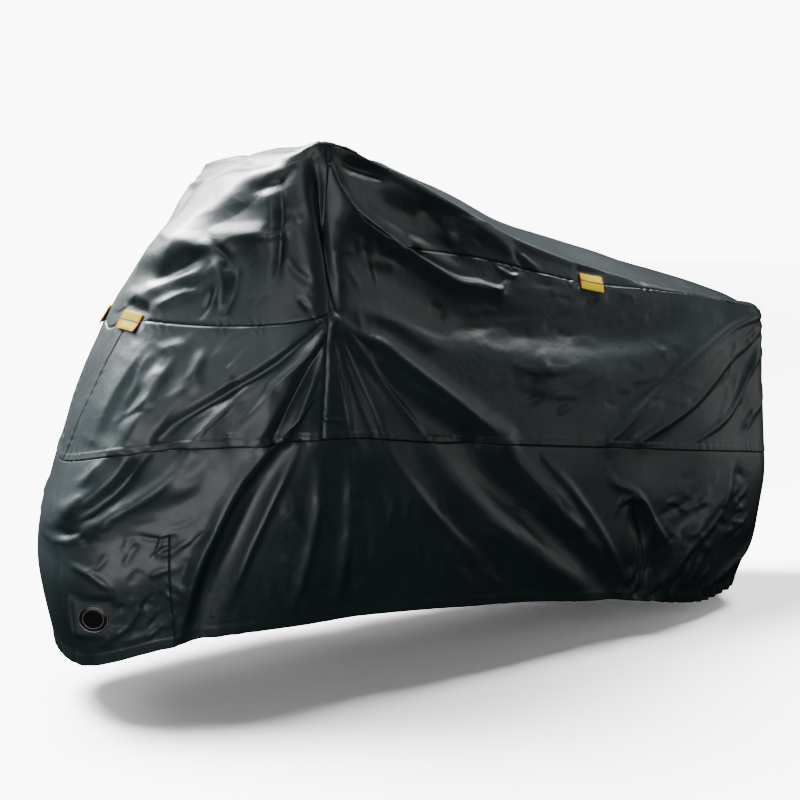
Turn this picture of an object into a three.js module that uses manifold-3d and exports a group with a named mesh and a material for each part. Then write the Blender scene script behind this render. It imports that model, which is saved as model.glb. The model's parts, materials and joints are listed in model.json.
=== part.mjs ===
// Fitted weather cover of coated polyester, standing in the shape in which it hangs.
// Millimetres, +Z up, nose to -X, tail to +X, the left side to -Y.
// The origin is in the middle of the cover, level with the lowest point of the hem.

import * as THREE from 'three';
import { mergeVertices } from 'three/addons/utils/BufferGeometryUtils.js';
import Module from 'manifold-3d';

const wasm = await Module();
wasm.setup();

// Driving sizes
const CLOTH = 2;
const GAP = 0.3;
const HEM = { outside: 1, inside: 1.5 };
const PIPING = { radius: 3, sides: 5 };
const PATCH = { proud: 1, firstColumn: 3, lastColumn: 9, top: 1.2 };
const EYELET = {
  along: 200, girth: 0.48, hole: 20, barrel: 22.5, clearance: 0.6,
  flange: 33, innerFlange: 30, flangeThickness: 2, flangeEdge: 1.2, slope: 3, rim: 3.4, lip: 2.72,
  sides: 24, drillDepth: 24,
};
const TAB = { width: 72, height: 46, thickness: 1.2, corner: 3, lift: 0.6 };

// The cloth is measured along the cover from the nose (0) to the tail, and up its girth from
// the hem (0) over the middle seam (2) and the upper seam (3) to the crown (5).
const ALONG = [0, 150, 380, 680, 1020, 1500, 1950, 2180, 2320];
const TAIL = ALONG[ALONG.length - 1];
const MIDDLE_SEAM = 2;
const UPPER_SEAM = 3;
const PEAK = 3.9;
const CROWN = 5;

// Lines of the form at those places: x along the cover, w the half width, z the height.
// The places are nose, nose corner, flank, grip, tank, seat, rear, tail corner and tail.
const FORM = [
  { line: 'hem', girth: 0,
    x: [-1004, -974, -777, -480, -150, 330, 740, 902, 930],
    w: [0, 130, 227, 265, 270, 255, 210, 130, 0],
    z: [84, 87, 135, 147, 133, 74, 4, 10, 20] },
  { line: 'low', girth: 0.9,
    x: [-1035, -1002, -795, -490, -155, 345, 782, 958, 997],
    w: [0, 160, 265, 320, 300, 275, 225, 140, 0],
    z: [290, 300, 330, 340, 320, 270, 200, 180, 175] },
  { line: 'middle seam', girth: MIDDLE_SEAM,
    x: [-985, -953, -784, -495, -155, 360, 820, 999, 1038],
    w: [0, 145, 280, 350, 305, 270, 210, 132, 0],
    z: [527, 547, 580, 585, 543, 480, 420, 392, 385] },
  { line: 'upper seam', girth: UPPER_SEAM,
    x: [-866, -832, -702, -492, -210, 300, 755, 972, 1026],
    w: [0, 130, 270, 375, 270, 195, 149, 112, 0],
    z: [815, 838, 832, 855, 983, 900, 848, 804, 774] },
  { line: 'shoulder', girth: 4,
    x: [-710, -686, -622, -497, -240, 240, 720, 943, 1005],
    w: [0, 100, 235, 395, 290, 160, 107, 72, 0],
    z: [1030, 1045, 1094, 1206, 1128, 965, 858, 820, 802] },
  { line: 'crown', girth: CROWN,
    x: [-625, -615, -572, -495, -250, 210, 700, 920, 968],
    w: [0, 0, 0, 0, 0, 0, 0, 0, 0],
    z: [1152, 1157, 1173, 1198, 1191, 1040, 913, 851, 829] },
];

// The upper seam leaves the grip near its peak and drops to the level of the seat.
const REAR_SEAM = {
  along: [680, 760, 830, 890, 950, 1070, TAIL],
  girth: [PEAK, 3.5, 3.35, 3.22, 3.08, 3, 3],
};

// The grid that the panels are cut from: columns along the cover, rows up its girth.
const COLUMN = 40;
const COLUMNS = TAIL / COLUMN;
const GRIP_COLUMN = 17;
const TAIL_SEAM_COLUMN = 55;
const FRONT_SEAM = { column: 3, top: 120, bottom: 30, settled: 1.2 };
const SKIRT_ROWS = [0, 0.07, 0.24, 0.48, 0.72, 0.96, PATCH.top, 1.46, 1.73, MIDDLE_SEAM];
const SIDE_ROWS = [MIDDLE_SEAM, 2.17, 2.34, 2.52, 2.7, 2.86, UPPER_SEAM];
const HOOD_ROWS = [UPPER_SEAM, 3.3, 3.6, PEAK];
const CAP_ROWS = [PEAK, 4, 4.3, 4.65, CROWN];

// Places where a hard piece sits and the cloth under it lies flat.
// A place faces out in x, sideways and z, and the piece on it runs across from nose to tail.
const EYELET_PAD = {
  along: EYELET.along, girth: EYELET.girth, halfLength: COLUMN, halfGirth: 0.24,
  facing: [-0.42, 0.9, -0.1], across: [0.91, 0.42, 0],
};
const FRONT_TAB_PAD = {
  along: 120, girth: UPPER_SEAM, halfLength: COLUMN, halfGirth: 0.3,
  facing: [-0.76, 0.38, 0.52], across: [0.4, 0.9, -0.09],
};
const REAR_TAB_PAD = {
  along: 1520, girth: UPPER_SEAM, halfLength: COLUMN, halfGirth: 0.3,
  facing: [0.05, 0.85, 0.52], across: [0.98, 0.06, -0.14],
};
const PADS = [EYELET_PAD, FRONT_TAB_PAD, REAR_TAB_PAD];

// Their flatness fades between these shares of their half sizes.
const PAD_FADE = { start: 1.05, end: 1.9 };

// Two edges of a panel whose directions have a higher cosine than this count as one line.
const ONE_LINE = 0.9;

// Main folds of the left side, as routes on its side view. Height is out of the cloth, or into
// it when negative, with a width on the left and on the right of the route and the share of
// the height that is left at its start and its end.
const FOLD_COLUMNS = ['name', 'route', 'height', 'left', 'right', 'start', 'end'];
const LEFT_FOLDS = foldTable([
  ['hood long', [[-505, 1190], [-560, 1160], [-600, 1115], [-650, 1065], [-705, 1020], [-805, 900]],
    24, 26, 60, 0.1, 0.3],
  ['hood hollow', [[-570, 1150], [-645, 1075], [-730, 1000]], -22, 30, 24, 0.3, 0.2],
  ['hood second', [[-580, 1025], [-670, 1010], [-755, 965]], 12, 34, 28, 0.8, 0.1],
  ['pocket arc', [[-805, 905], [-770, 940], [-690, 970], [-675, 945], [-700, 850]], 13, 22, 36, 0.2, 0.2],
  ['grip valley', [[-525, 1170], [-505, 1090], [-500, 990], [-485, 865]], -16, 26, 26, 0.2, 0.5],
  ['grip ridge', [[-552, 1160], [-540, 1050], [-520, 950], [-490, 875]], 10, 24, 26, 0.3, 0.2],
  ['seam fold', [[-490, 1185], [-465, 1125], [-440, 1080], [-380, 1035], [-275, 990], [-110, 915],
    [20, 890]], 18, 26, 44, 0.3, 0.2],
  ['tank hollow', [[-400, 1110], [-280, 1065], [-70, 985]], -14, 40, 40, 0.2, 0.2],
  ['star ridge front', [[-487, 845], [-535, 770], [-570, 710], [-630, 600]], 17, 24, 30, 0.3, 0.9],
  ['star valley front', [[-495, 790], [-545, 710], [-610, 600]], -14, 24, 24, 0.2, 0.9],
  ['star ridge low', [[-515, 840], [-580, 780], [-640, 710], [-770, 595]], 13, 26, 34, 0.2, 0.8],
  ['star valley low', [[-550, 795], [-625, 720], [-815, 595]], -12, 34, 30, 0.2, 0.8],
  ['front ridge', [[-775, 740], [-835, 660], [-890, 575]], 10, 36, 40, 0.1, 0.8],
  ['star ridge rear', [[-470, 845], [-380, 790], [-265, 715], [-150, 640], [5, 540]], 17, 26, 34, 0.3, 0.7],
  ['star valley rear', [[-450, 830], [-320, 700], [-185, 600], [-85, 535]], -12, 26, 30, 0.2, 0.6],
  ['star valley steep', [[-470, 820], [-435, 735], [-370, 575]], -11, 24, 24, 0.2, 0.7],
  ['swag valley', [[-285, 875], [-50, 815], [195, 775], [470, 760], [700, 785]], -22, 60, 60, 0.1, 0.2],
  ['swag ridge', [[-200, 785], [5, 735], [215, 700], [460, 700], [695, 735], [930, 800]],
    15, 60, 60, 0.1, 0.4],
  ['tail ray upper', [[900, 790], [760, 715], [600, 630], [340, 505]], 12, 30, 30, 0.3, 0.6],
  ['tail ray lower', [[930, 780], [745, 650], [590, 570], [445, 490]], 12, 28, 28, 0.3, 0.6],
  ['skirt edge', [[-590, 590], [-650, 520], [-690, 450], [-755, 290], [-790, 150]], 20, 24, 70, 0.8, 0.5],
  ['skirt dark', [[-555, 590], [-620, 510], [-660, 435], [-725, 275], [-750, 150]], -18, 28, 28, 0.8, 0.5],
  ['nose fold upper', [[-905, 560], [-940, 500], [-1020, 395]], 15, 24, 26, 0.5, 0.6],
  ['nose valley', [[-865, 560], [-900, 500], [-1005, 390]], -14, 26, 26, 0.4, 0.5],
  ['nose fold lower', [[-720, 580], [-785, 515], [-875, 460], [-1015, 370]], 13, 24, 34, 0.6, 0.5],
  ['fan ridge front', [[-210, 525], [-110, 415], [20, 300], [165, 195], [330, 90]], 18, 36, 42, 0.6, 0.5],
  ['fan valley', [[-90, 520], [-10, 425], [100, 330], [260, 195], [370, 85]], -24, 45, 45, 0.6, 0.7],
  ['fan ridge rear', [[5, 510], [120, 385], [220, 285], [325, 160], [385, 85]], 17, 30, 30, 0.6, 0.6],
  ['fan ridge low', [[-325, 545], [-240, 415], [-145, 255], [-75, 140]], 10, 40, 40, 0.5, 0.3],
  ['arch valley', [[375, 300], [410, 310], [450, 255], [500, 160], [520, 65]], -16, 28, 28, 0.1, 0.9],
  ['rear ridge', [[810, 405], [745, 310], [625, 210], [540, 80]], 13, 36, 36, 0.3, 0.6],
]);

// The right side hangs more quietly, with folds of its own.
const RIGHT_FOLDS = foldTable([
  ['hood long', [[-560, 1160], [-620, 1085], [-690, 1000], [-780, 880]], 10, 34, 50, 0.2, 0.2],
  ['grip slack', [[-585, 1150], [-555, 1185], [-520, 1205]], -16, 42, 42, 0.3, 0.1],
  ['grip valley', [[-520, 1165], [-500, 1060], [-490, 960], [-480, 870]], -14, 28, 28, 0.2, 0.4],
  ['grip ridge', [[-470, 1150], [-400, 1040], [-290, 975], [-120, 915]], 14, 30, 40, 0.3, 0.2],
  ['tank hollow', [[-380, 1100], [-230, 1040], [-60, 985]], -12, 40, 40, 0.2, 0.2],
  ['star ridge front', [[-500, 835], [-580, 730], [-680, 600]], 15, 30, 30, 0.3, 0.8],
  ['star valley front', [[-480, 820], [-530, 700], [-580, 600]], -12, 28, 28, 0.2, 0.8],
  ['star ridge rear', [[-465, 840], [-330, 740], [-190, 640], [-60, 550]], 15, 32, 32, 0.3, 0.7],
  ['star valley rear', [[-450, 810], [-350, 690], [-260, 570]], -12, 30, 30, 0.2, 0.7],
  ['swag valley', [[-250, 870], [0, 800], [260, 770], [650, 790]], -16, 60, 60, 0.1, 0.2],
  ['swag ridge', [[-150, 760], [100, 700], [400, 690], [880, 780]], 12, 60, 60, 0.1, 0.4],
  ['tail ray', [[910, 780], [760, 670], [560, 540]], 12, 32, 32, 0.3, 0.6],
  ['skirt front', [[-640, 590], [-720, 440], [-800, 200]], 16, 40, 50, 0.7, 0.4],
  ['skirt hollow', [[-560, 590], [-620, 430], [-690, 180]], -14, 36, 36, 0.7, 0.4],
  ['skirt ridge', [[-300, 570], [-260, 400], [-230, 160]], 12, 44, 44, 0.5, 0.5],
  ['fan ridge', [[-100, 540], [60, 350], [260, 130]], 15, 40, 40, 0.5, 0.5],
  ['fan valley', [[30, 520], [190, 330], [350, 110]], -16, 44, 44, 0.5, 0.5],
  ['rear ridge', [[760, 420], [640, 250], [520, 80]], 13, 36, 36, 0.3, 0.6],
]);

// Over this much of the width each way, the folds of one side turn into those of the other.
const FOLD_BLEND = 70;

const COATED_CLOTH = new THREE.MeshStandardMaterial({ color: 0x1f2a2d, roughness: 0.38, metalness: 0 });
const LOCK_CLOTH = new THREE.MeshStandardMaterial({ color: 0x222d30, roughness: 0.4, metalness: 0 });
const SEAM_BINDING = new THREE.MeshStandardMaterial({ color: 0x0c0e0f, roughness: 0.5, metalness: 0 });
const BLACK_PLASTIC = new THREE.MeshStandardMaterial({ color: 0x0b0b0c, roughness: 0.3, metalness: 0 });
const YELLOW_TAPE = new THREE.MeshStandardMaterial({ color: 0xf4c430, roughness: 0.45, metalness: 0 });

const SIDES = [{ name: 'left', y: -1 }, { name: 'right', y: 1 }];
const cover = new THREE.Group();

// Curves

function foldTable(rows) {
  return rows.map((row) => {
    const fold = Object.fromEntries(FOLD_COLUMNS.map((column, i) => [column, row[i]]));
    const curve = new THREE.SplineCurve(fold.route.map(([x, z]) => new THREE.Vector2(x, z)));
    fold.points = curve.getSpacedPoints(4 * fold.route.length);
    return fold;
  });
}

function smooth(from, to, value) {
  return THREE.MathUtils.smoothstep(value, from, to);
}

// The slope of a smooth curve at each knot, held back so that it doesn't overshoot.
function slopes(knots, values) {
  const steepest = 3;
  const step = (i) => (values[i + 1] - values[i]) / (knots[i + 1] - knots[i]);
  return knots.map((_, i) => {
    if (i === 0) return step(0);
    if (i === knots.length - 1) return step(i - 1);
    const before = step(i - 1);
    const after = step(i);
    if (before * after <= 0) return 0;
    const wide = knots[i + 1] - knots[i];
    const back = knots[i] - knots[i - 1];
    const mean = (wide * before + back * after) / (wide + back);
    const cap = steepest * Math.min(Math.abs(before), Math.abs(after));
    return THREE.MathUtils.clamp(mean, -cap, cap);
  });
}

function curveAt(knots, values, tangents, at) {
  let i = 0;
  while (i < knots.length - 2 && at >= knots[i + 1]) i += 1;
  const wide = knots[i + 1] - knots[i];
  const u = (at - knots[i]) / wide;
  const start = (1 + 2 * u) * (1 - u) ** 2 * values[i] + u * (1 - u) ** 2 * wide * tangents[i];
  const end = u * u * (3 - 2 * u) * values[i + 1] + u * u * (u - 1) * wide * tangents[i + 1];
  return start + end;
}

function curve(knots, values) {
  const tangents = slopes(knots, values);
  return (at) => curveAt(knots, values, tangents, at);
}

// The form

// Two knots of the other side are added past the nose and the tail, so that the form closes
// smoothly there. The half width changes its sign over the middle of the cover.
function mirrorEnds(values, sign) {
  const last = values.length - 1;
  const before = [sign * values[2], sign * values[1]];
  return [...before, ...values, sign * values[last - 1], sign * values[last - 2]];
}

const alongKnots = [-ALONG[2], -ALONG[1], ...ALONG, 2 * TAIL - ALONG[7], 2 * TAIL - ALONG[6]];
const formCurves = FORM.map((line) => ({
  x: curve(alongKnots, mirrorEnds(line.x, 1)),
  w: curve(alongKnots, mirrorEnds(line.w, -1)),
  z: curve(alongKnots, mirrorEnds(line.z, 1)),
}));
const girthKnots = [...FORM.map((line) => line.girth), 6, 7];

function formPoint(along, girth, y) {
  const across = (name, sign) => {
    const values = formCurves.map((line) => line[name](along));
    const arch = [...values, sign * values[4], sign * values[3]];
    return curveAt(girthKnots, arch, slopes(girthKnots, arch), girth);
  };
  return new THREE.Vector3(across('x', 1), y * across('w', -1), across('z', 1));
}

function formNormal(along, girth, y) {
  const step = { along: 6, girth: 0.03 };
  const s = THREE.MathUtils.clamp(along, step.along, TAIL - step.along);
  const g = THREE.MathUtils.clamp(girth, step.girth, CROWN - step.girth);
  const forward = formPoint(s + step.along, g, y).sub(formPoint(s - step.along, g, y));
  const up = formPoint(s, g + step.girth, y).sub(formPoint(s, g - step.girth, y));
  return forward.cross(up).multiplyScalar(-y).normalize();
}

// Height of one fold over a point of the side view.
function foldHeight(fold, x, z) {
  let nearest = { distance: Infinity };
  const last = fold.points.length - 1;
  for (let i = 0; i < last; i += 1) {
    const a = fold.points[i];
    const b = fold.points[i + 1];
    const length = a.distanceTo(b);
    const ahead = ((x - a.x) * (b.x - a.x) + (z - a.y) * (b.y - a.y)) / length ** 2;
    const t = THREE.MathUtils.clamp(ahead, 0, 1);
    const dx = x - a.x - t * (b.x - a.x);
    const dz = z - a.y - t * (b.y - a.y);
    const distance = Math.hypot(dx, dz);
    if (distance < nearest.distance) {
      const onLeft = (b.x - a.x) * dz - (b.y - a.y) * dx > 0;
      nearest = { distance, onLeft, share: (i + t) / last };
    }
  }
  const width = nearest.onLeft ? fold.left : fold.right;
  const reach = 0.3;
  const fromStart = fold.start + (1 - fold.start) * smooth(0, reach, nearest.share);
  const fromEnd = fold.end + (1 - fold.end) * smooth(0, reach, 1 - nearest.share);
  return fold.height * Math.min(fromStart, fromEnd) * Math.exp(-((nearest.distance / width) ** 2));
}

function foldsAt(point) {
  const total = (folds) => folds.reduce((sum, fold) => sum + foldHeight(fold, point.x, point.z), 0);
  const left = smooth(-FOLD_BLEND, FOLD_BLEND, -point.y);
  return left * total(LEFT_FOLDS) + (1 - left) * total(RIGHT_FOLDS);
}

function foldedPoint(along, girth, y) {
  const point = formPoint(along, girth, y);
  return point.addScaledVector(formNormal(along, girth, y), foldsAt(point));
}

function padNormal(pad, y) {
  const [x, side, z] = pad.facing;
  return new THREE.Vector3(x, y * side, z).normalize();
}

function clothPoint(along, girth, y) {
  const point = foldedPoint(along, girth, y);
  for (const pad of PADS) {
    const away = Math.max(
      Math.abs(along - pad.along) / pad.halfLength,
      Math.abs(girth - pad.girth) / pad.halfGirth,
    );
    if (away < PAD_FADE.end) {
      const middle = foldedPoint(pad.along, pad.girth, y);
      const normal = padNormal(pad, y);
      const lift = point.clone().sub(middle).dot(normal);
      point.addScaledVector(normal, -lift * (1 - smooth(PAD_FADE.start, PAD_FADE.end, away)));
    }
  }
  return point;
}

// The grid of the cloth

// The two front seams run together towards the middle seam, and the columns follow them.
function alongOf(column, girth) {
  const along = column * COLUMN;
  if (column >= GRIP_COLUMN || girth >= UPPER_SEAM || girth <= FRONT_SEAM.settled) return along;
  const drop = girth > MIDDLE_SEAM
    ? (UPPER_SEAM - girth) / (UPPER_SEAM - MIDDLE_SEAM)
    : (girth - FRONT_SEAM.settled) / (MIDDLE_SEAM - FRONT_SEAM.settled);
  const seam = FRONT_SEAM.top + (FRONT_SEAM.bottom - FRONT_SEAM.top) * drop;
  if (column <= FRONT_SEAM.column) return (along * seam) / FRONT_SEAM.top;
  const grip = GRIP_COLUMN * COLUMN;
  return seam + ((along - FRONT_SEAM.top) * (grip - seam)) / (grip - FRONT_SEAM.top);
}

const rearSeam = curve(REAR_SEAM.along, REAR_SEAM.girth);
const spread = (rows) => rows.map((row) => (row - rows[0]) / (rows[rows.length - 1] - rows[0]));
const rearSideShares = spread([...SIDE_ROWS, ...HOOD_ROWS.slice(1)]);
const rearTopShares = spread(HOOD_ROWS);

const vertices = [];
const vertexByPlace = new Map();

function vertexAt(along, girth, y) {
  const inTheMiddle = along < 0.01 || along > TAIL - 0.01 || girth > CROWN - 0.001;
  const place = [inTheMiddle ? 0 : y, along.toFixed(2), girth.toFixed(4)].join(' ');
  if (!vertexByPlace.has(place)) {
    const position = clothPoint(along, girth, y);
    if (inTheMiddle) position.y = 0;
    vertexByPlace.set(place, vertices.length);
    vertices.push({ along, girth, position, normal: new THREE.Vector3() });
  }
  return vertexByPlace.get(place);
}

// How far the middle of a straight line between two vertices lies off the cloth.
function offCloth(from, to, y) {
  const [a, b] = [vertices[from], vertices[to]];
  const middle = clothPoint((a.along + b.along) / 2, (a.girth + b.girth) / 2, y);
  return a.position.clone().add(b.position).multiplyScalar(0.5).distanceTo(middle);
}

// Triangles of a block of columns, where girthAt gives the rows' girths at a column.
function block(firstColumn, lastColumn, rows, girthAt, y) {
  const triangles = [];
  const corner = (column, row) => {
    const girth = girthAt(column, row);
    return vertexAt(alongOf(column, girth), girth, y);
  };
  for (let column = firstColumn; column < lastColumn; column += 1) {
    for (let row = 0; row < rows - 1; row += 1) {
      const a = corner(column, row);
      const b = corner(column + 1, row);
      const c = corner(column + 1, row + 1);
      const d = corner(column, row + 1);
      const alongFold = offCloth(a, c, y) <= offCloth(b, d, y);
      const halves = alongFold ? [[a, b, c], [a, c, d]] : [[a, b, d], [b, c, d]];
      for (const [p, q, r] of halves) {
        if (p !== q && q !== r && r !== p) triangles.push(y < 0 ? [p, q, r] : [p, r, q]);
      }
    }
  }
  return triangles;
}

function fixedRows(firstColumn, lastColumn, girths, y) {
  return block(firstColumn, lastColumn, girths.length, (_, row) => girths[row], y);
}

const rearGirth = (column) => rearSeam(Math.min(column * COLUMN, TAIL));
const rearSideAt = (column, row) => MIDDLE_SEAM + rearSideShares[row] * (rearGirth(column) - MIDDLE_SEAM);
const rearTopAt = (column, row) => rearGirth(column) + rearTopShares[row] * (PEAK - rearGirth(column));

function rearSide(firstColumn, lastColumn, y) {
  return block(firstColumn, lastColumn, rearSideShares.length, rearSideAt, y);
}

const panels = new Map();

function addToPanel(name, triangles) {
  panels.set(name, [...(panels.get(name) ?? []), ...triangles]);
}

for (const { name, y } of SIDES) {
  const patchRows = SKIRT_ROWS.filter((girth) => girth <= PATCH.top);
  const upperSkirtRows = SKIRT_ROWS.filter((girth) => girth >= PATCH.top);
  addToPanel('skirt', fixedRows(0, PATCH.firstColumn, patchRows, y));
  addToPanel('skirt', fixedRows(PATCH.lastColumn, COLUMNS, patchRows, y));
  addToPanel('skirt', fixedRows(0, COLUMNS, upperSkirtRows, y));
  addToPanel(`lock_patch_${name}`, fixedRows(PATCH.firstColumn, PATCH.lastColumn, patchRows, y));
  addToPanel('front_panel', fixedRows(0, FRONT_SEAM.column, SIDE_ROWS, y));
  addToPanel(`side_front_${name}`, fixedRows(FRONT_SEAM.column, GRIP_COLUMN, SIDE_ROWS, y));
  addToPanel(`side_rear_${name}`, rearSide(GRIP_COLUMN, TAIL_SEAM_COLUMN, y));
  addToPanel('rear_panel', rearSide(TAIL_SEAM_COLUMN, COLUMNS, y));
  addToPanel('top_panel', fixedRows(0, GRIP_COLUMN, HOOD_ROWS, y));
  addToPanel('top_panel', block(GRIP_COLUMN, COLUMNS, rearTopShares.length, rearTopAt, y));
  addToPanel('top_panel', fixedRows(0, COLUMNS, CAP_ROWS, y));
}

for (const triangle of [...panels.values()].flat()) {
  const [a, b, c] = triangle.map((i) => vertices[i].position);
  const face = b.clone().sub(a).cross(c.clone().sub(a));
  for (const i of triangle) vertices[i].normal.add(face);
}
for (const vertex of vertices) vertex.normal.normalize();

// Shells

function edgesOf(triangles) {
  const edges = new Map();
  for (const [a, b, c] of triangles) {
    for (const [from, to] of [[a, b], [b, c], [c, a]]) {
      if (!edges.delete(`${to} ${from}`)) edges.set(`${from} ${to}`, [from, to]);
    }
  }
  return [...edges.values()];
}

// How far an edge of a panel is drawn back from the line that it shares with its neighbour.
function drawBack([from, to]) {
  const along = (girth) => [from, to].every((i) => Math.abs(vertices[i].girth - girth) < 0.001);
  if (along(0)) return 0;
  return along(MIDDLE_SEAM) ? PIPING.radius + GAP : GAP / 2;
}

function inward([from, to], vertex) {
  const edge = vertices[to].position.clone().sub(vertices[from].position);
  return vertices[vertex].normal.clone().cross(edge).normalize();
}

// Moves the edge of a panel inwards, with mitred corners.
function insetOf(vertex, arriving, leaving) {
  const n1 = inward(arriving, vertex);
  const n2 = inward(leaving, vertex);
  const d1 = drawBack(arriving);
  const d2 = drawBack(leaving);
  const facing = n1.dot(n2);
  if (facing > ONE_LINE) return n1.add(n2).normalize().multiplyScalar(Math.max(d1, d2));
  const spare = 1 - facing * facing;
  return n1.multiplyScalar((d1 - d2 * facing) / spare).addScaledVector(n2, (d2 - d1 * facing) / spare);
}

function thicknessAt(vertex, proud) {
  const hem = vertex.girth < SKIRT_ROWS[2] ? 1 : 0;
  return { outside: proud + hem * HEM.outside, inside: CLOTH + hem * HEM.inside };
}

function shell(triangles, proud = 0) {
  const edges = edgesOf(triangles);
  const leaving = new Map(edges.map((edge) => [edge[0], edge]));
  const arriving = new Map(edges.map((edge) => [edge[1], edge]));
  const used = [...new Set(triangles.flat())];
  const index = new Map(used.map((vertex, i) => [vertex, i]));
  const count = used.length;
  const positions = new Float32Array(6 * count);
  used.forEach((id, i) => {
    const vertex = vertices[id];
    const at = vertex.position.clone();
    if (leaving.has(id)) at.add(insetOf(id, arriving.get(id), leaving.get(id)));
    const { outside, inside } = thicknessAt(vertex, proud);
    at.clone().addScaledVector(vertex.normal, outside).toArray(positions, 3 * i);
    at.clone().addScaledVector(vertex.normal, -inside).toArray(positions, 3 * (count + i));
  });
  const faces = [];
  for (const [a, b, c] of triangles.map((triangle) => triangle.map((id) => index.get(id)))) {
    faces.push(a, b, c, count + a, count + c, count + b);
  }
  for (const [from, to] of edges.map((edge) => edge.map((id) => index.get(id)))) {
    faces.push(from, count + from, count + to, from, count + to, to);
  }
  const geometry = new THREE.BufferGeometry();
  geometry.setAttribute('position', new THREE.BufferAttribute(positions, 3));
  geometry.setIndex(faces);
  return geometry;
}

function solidOf(geometry) {
  const plain = geometry.clone();
  for (const name of ['normal', 'uv']) plain.deleteAttribute(name);
  const merged = mergeVertices(plain, 1e-3);
  return new wasm.Manifold(new wasm.Mesh({
    numProp: 3,
    vertProperties: merged.attributes.position.array,
    triVerts: new Uint32Array(merged.index.array),
  }));
}

function geometryOf(solid) {
  const mesh = solid.getMesh();
  const geometry = new THREE.BufferGeometry();
  geometry.setAttribute('position', new THREE.BufferAttribute(new Float32Array(mesh.vertProperties), 3));
  geometry.setIndex([...mesh.triVerts]);
  return geometry;
}

function addPiece(name, geometry, material) {
  geometry.computeVertexNormals();
  const mesh = new THREE.Mesh(geometry, material);
  mesh.name = name;
  cover.add(mesh);
  return mesh;
}

// A frame on a flat place of the cloth: right along the cover, up its girth, and out of it.
function frameOn(pad, y) {
  const { position, normal } = vertices[vertexAt(pad.along, pad.girth, y)];
  const [x, side, z] = pad.across;
  const right = new THREE.Vector3(x, y * side, z).multiplyScalar(-y).projectOnPlane(normal).normalize();
  const up = normal.clone().cross(right);
  return new THREE.Matrix4().makeBasis(right, up, normal).setPosition(position);
}

// Pieces

function addSeamPiping() {
  const ring = [];
  for (const y of [-1, 1]) {
    for (let column = 0; column < COLUMNS; column += 1) {
      const at = y < 0 ? column : COLUMNS - column;
      ring.push(vertexAt(alongOf(at, MIDDLE_SEAM), MIDDLE_SEAM, y));
    }
  }
  const positions = [];
  const faces = [];
  ring.forEach((id, i) => {
    const before = vertices[ring[(i + ring.length - 1) % ring.length]].position;
    const after = vertices[ring[(i + 1) % ring.length]].position;
    const { position, normal } = vertices[id];
    const up = normal.clone().cross(after.clone().sub(before)).normalize();
    const middle = position.clone().addScaledVector(normal, -CLOTH / 2);
    for (let side = 0; side < PIPING.sides; side += 1) {
      const turn = (2 * Math.PI * side) / PIPING.sides;
      const point = middle.clone();
      point.addScaledVector(normal, PIPING.radius * Math.cos(turn));
      point.addScaledVector(up, PIPING.radius * Math.sin(turn));
      positions.push(...point.toArray());
      const here = PIPING.sides * i + side;
      const beside = PIPING.sides * i + ((side + 1) % PIPING.sides);
      const step = i === ring.length - 1 ? -PIPING.sides * i : PIPING.sides;
      faces.push(here, here + step, beside + step, here, beside + step, beside);
    }
  });
  const geometry = new THREE.BufferGeometry();
  geometry.setAttribute('position', new THREE.Float32BufferAttribute(positions, 3));
  geometry.setIndex(faces);
  addPiece('seam_piping', geometry, SEAM_BINDING);
}

function addLockPatch(name, y) {
  const drill = new THREE.CylinderGeometry(
    EYELET.barrel + EYELET.clearance, EYELET.barrel + EYELET.clearance, EYELET.drillDepth, EYELET.sides,
  ).rotateX(Math.PI / 2).applyMatrix4(frameOn(EYELET_PAD, y));
  const patch = solidOf(shell(panels.get(`lock_patch_${name}`), PATCH.proud)).subtract(solidOf(drill));
  addPiece(`lock_patch_${name}`, geometryOf(patch), LOCK_CLOTH);
}

// A grommet of two flanges on one barrel, with a raised rim outside.
function addLockEyelet(name, y) {
  const outside = PATCH.proud + GAP;
  const inside = -CLOTH - GAP;
  const back = inside - EYELET.flangeThickness;
  const profile = [
    [EYELET.hole, back],
    [EYELET.innerFlange, back],
    [EYELET.innerFlange, inside],
    [EYELET.barrel, inside],
    [EYELET.barrel, outside],
    [EYELET.flange, outside],
    [EYELET.flange, outside + EYELET.flangeEdge],
    [EYELET.flange - EYELET.slope, outside + EYELET.flangeThickness],
    [EYELET.hole + EYELET.slope, outside + EYELET.rim],
    [EYELET.hole, outside + EYELET.lip],
    [EYELET.hole, back],
  ].map(([radius, height]) => new THREE.Vector2(radius, height));
  const ring = new THREE.LatheGeometry(profile, EYELET.sides).rotateX(Math.PI / 2);
  const mesh = addPiece(`lock_eyelet_${name}`, ring, BLACK_PLASTIC);
  mesh.applyMatrix4(frameOn(EYELET_PAD, y));
}

function addTab(name, pad, y) {
  const half = { x: TAB.width / 2, y: TAB.height / 2 };
  const outline = new THREE.Shape();
  outline.moveTo(-half.x + TAB.corner, -half.y);
  outline.lineTo(half.x - TAB.corner, -half.y);
  outline.lineTo(half.x, -half.y + TAB.corner);
  outline.lineTo(half.x, half.y - TAB.corner);
  outline.lineTo(half.x - TAB.corner, half.y);
  outline.lineTo(-half.x + TAB.corner, half.y);
  outline.lineTo(-half.x, half.y - TAB.corner);
  outline.lineTo(-half.x, -half.y + TAB.corner);
  const label = new THREE.ExtrudeGeometry(outline, { depth: TAB.thickness, bevelEnabled: false });
  const mesh = addPiece(name, label.translate(0, 0, TAB.lift), YELLOW_TAPE);
  mesh.applyMatrix4(frameOn(pad, y));
}

for (const [name, triangles] of panels) {
  if (!name.startsWith('lock_patch')) addPiece(name, shell(triangles), COATED_CLOTH);
}
addSeamPiping();
for (const { name, y } of SIDES) {
  addLockPatch(name, y);
  addLockEyelet(name, y);
  addTab(`tab_front_${name}`, FRONT_TAB_PAD, y);
  addTab(`tab_rear_${name}`, REAR_TAB_PAD, y);
}

export default cover;
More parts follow.
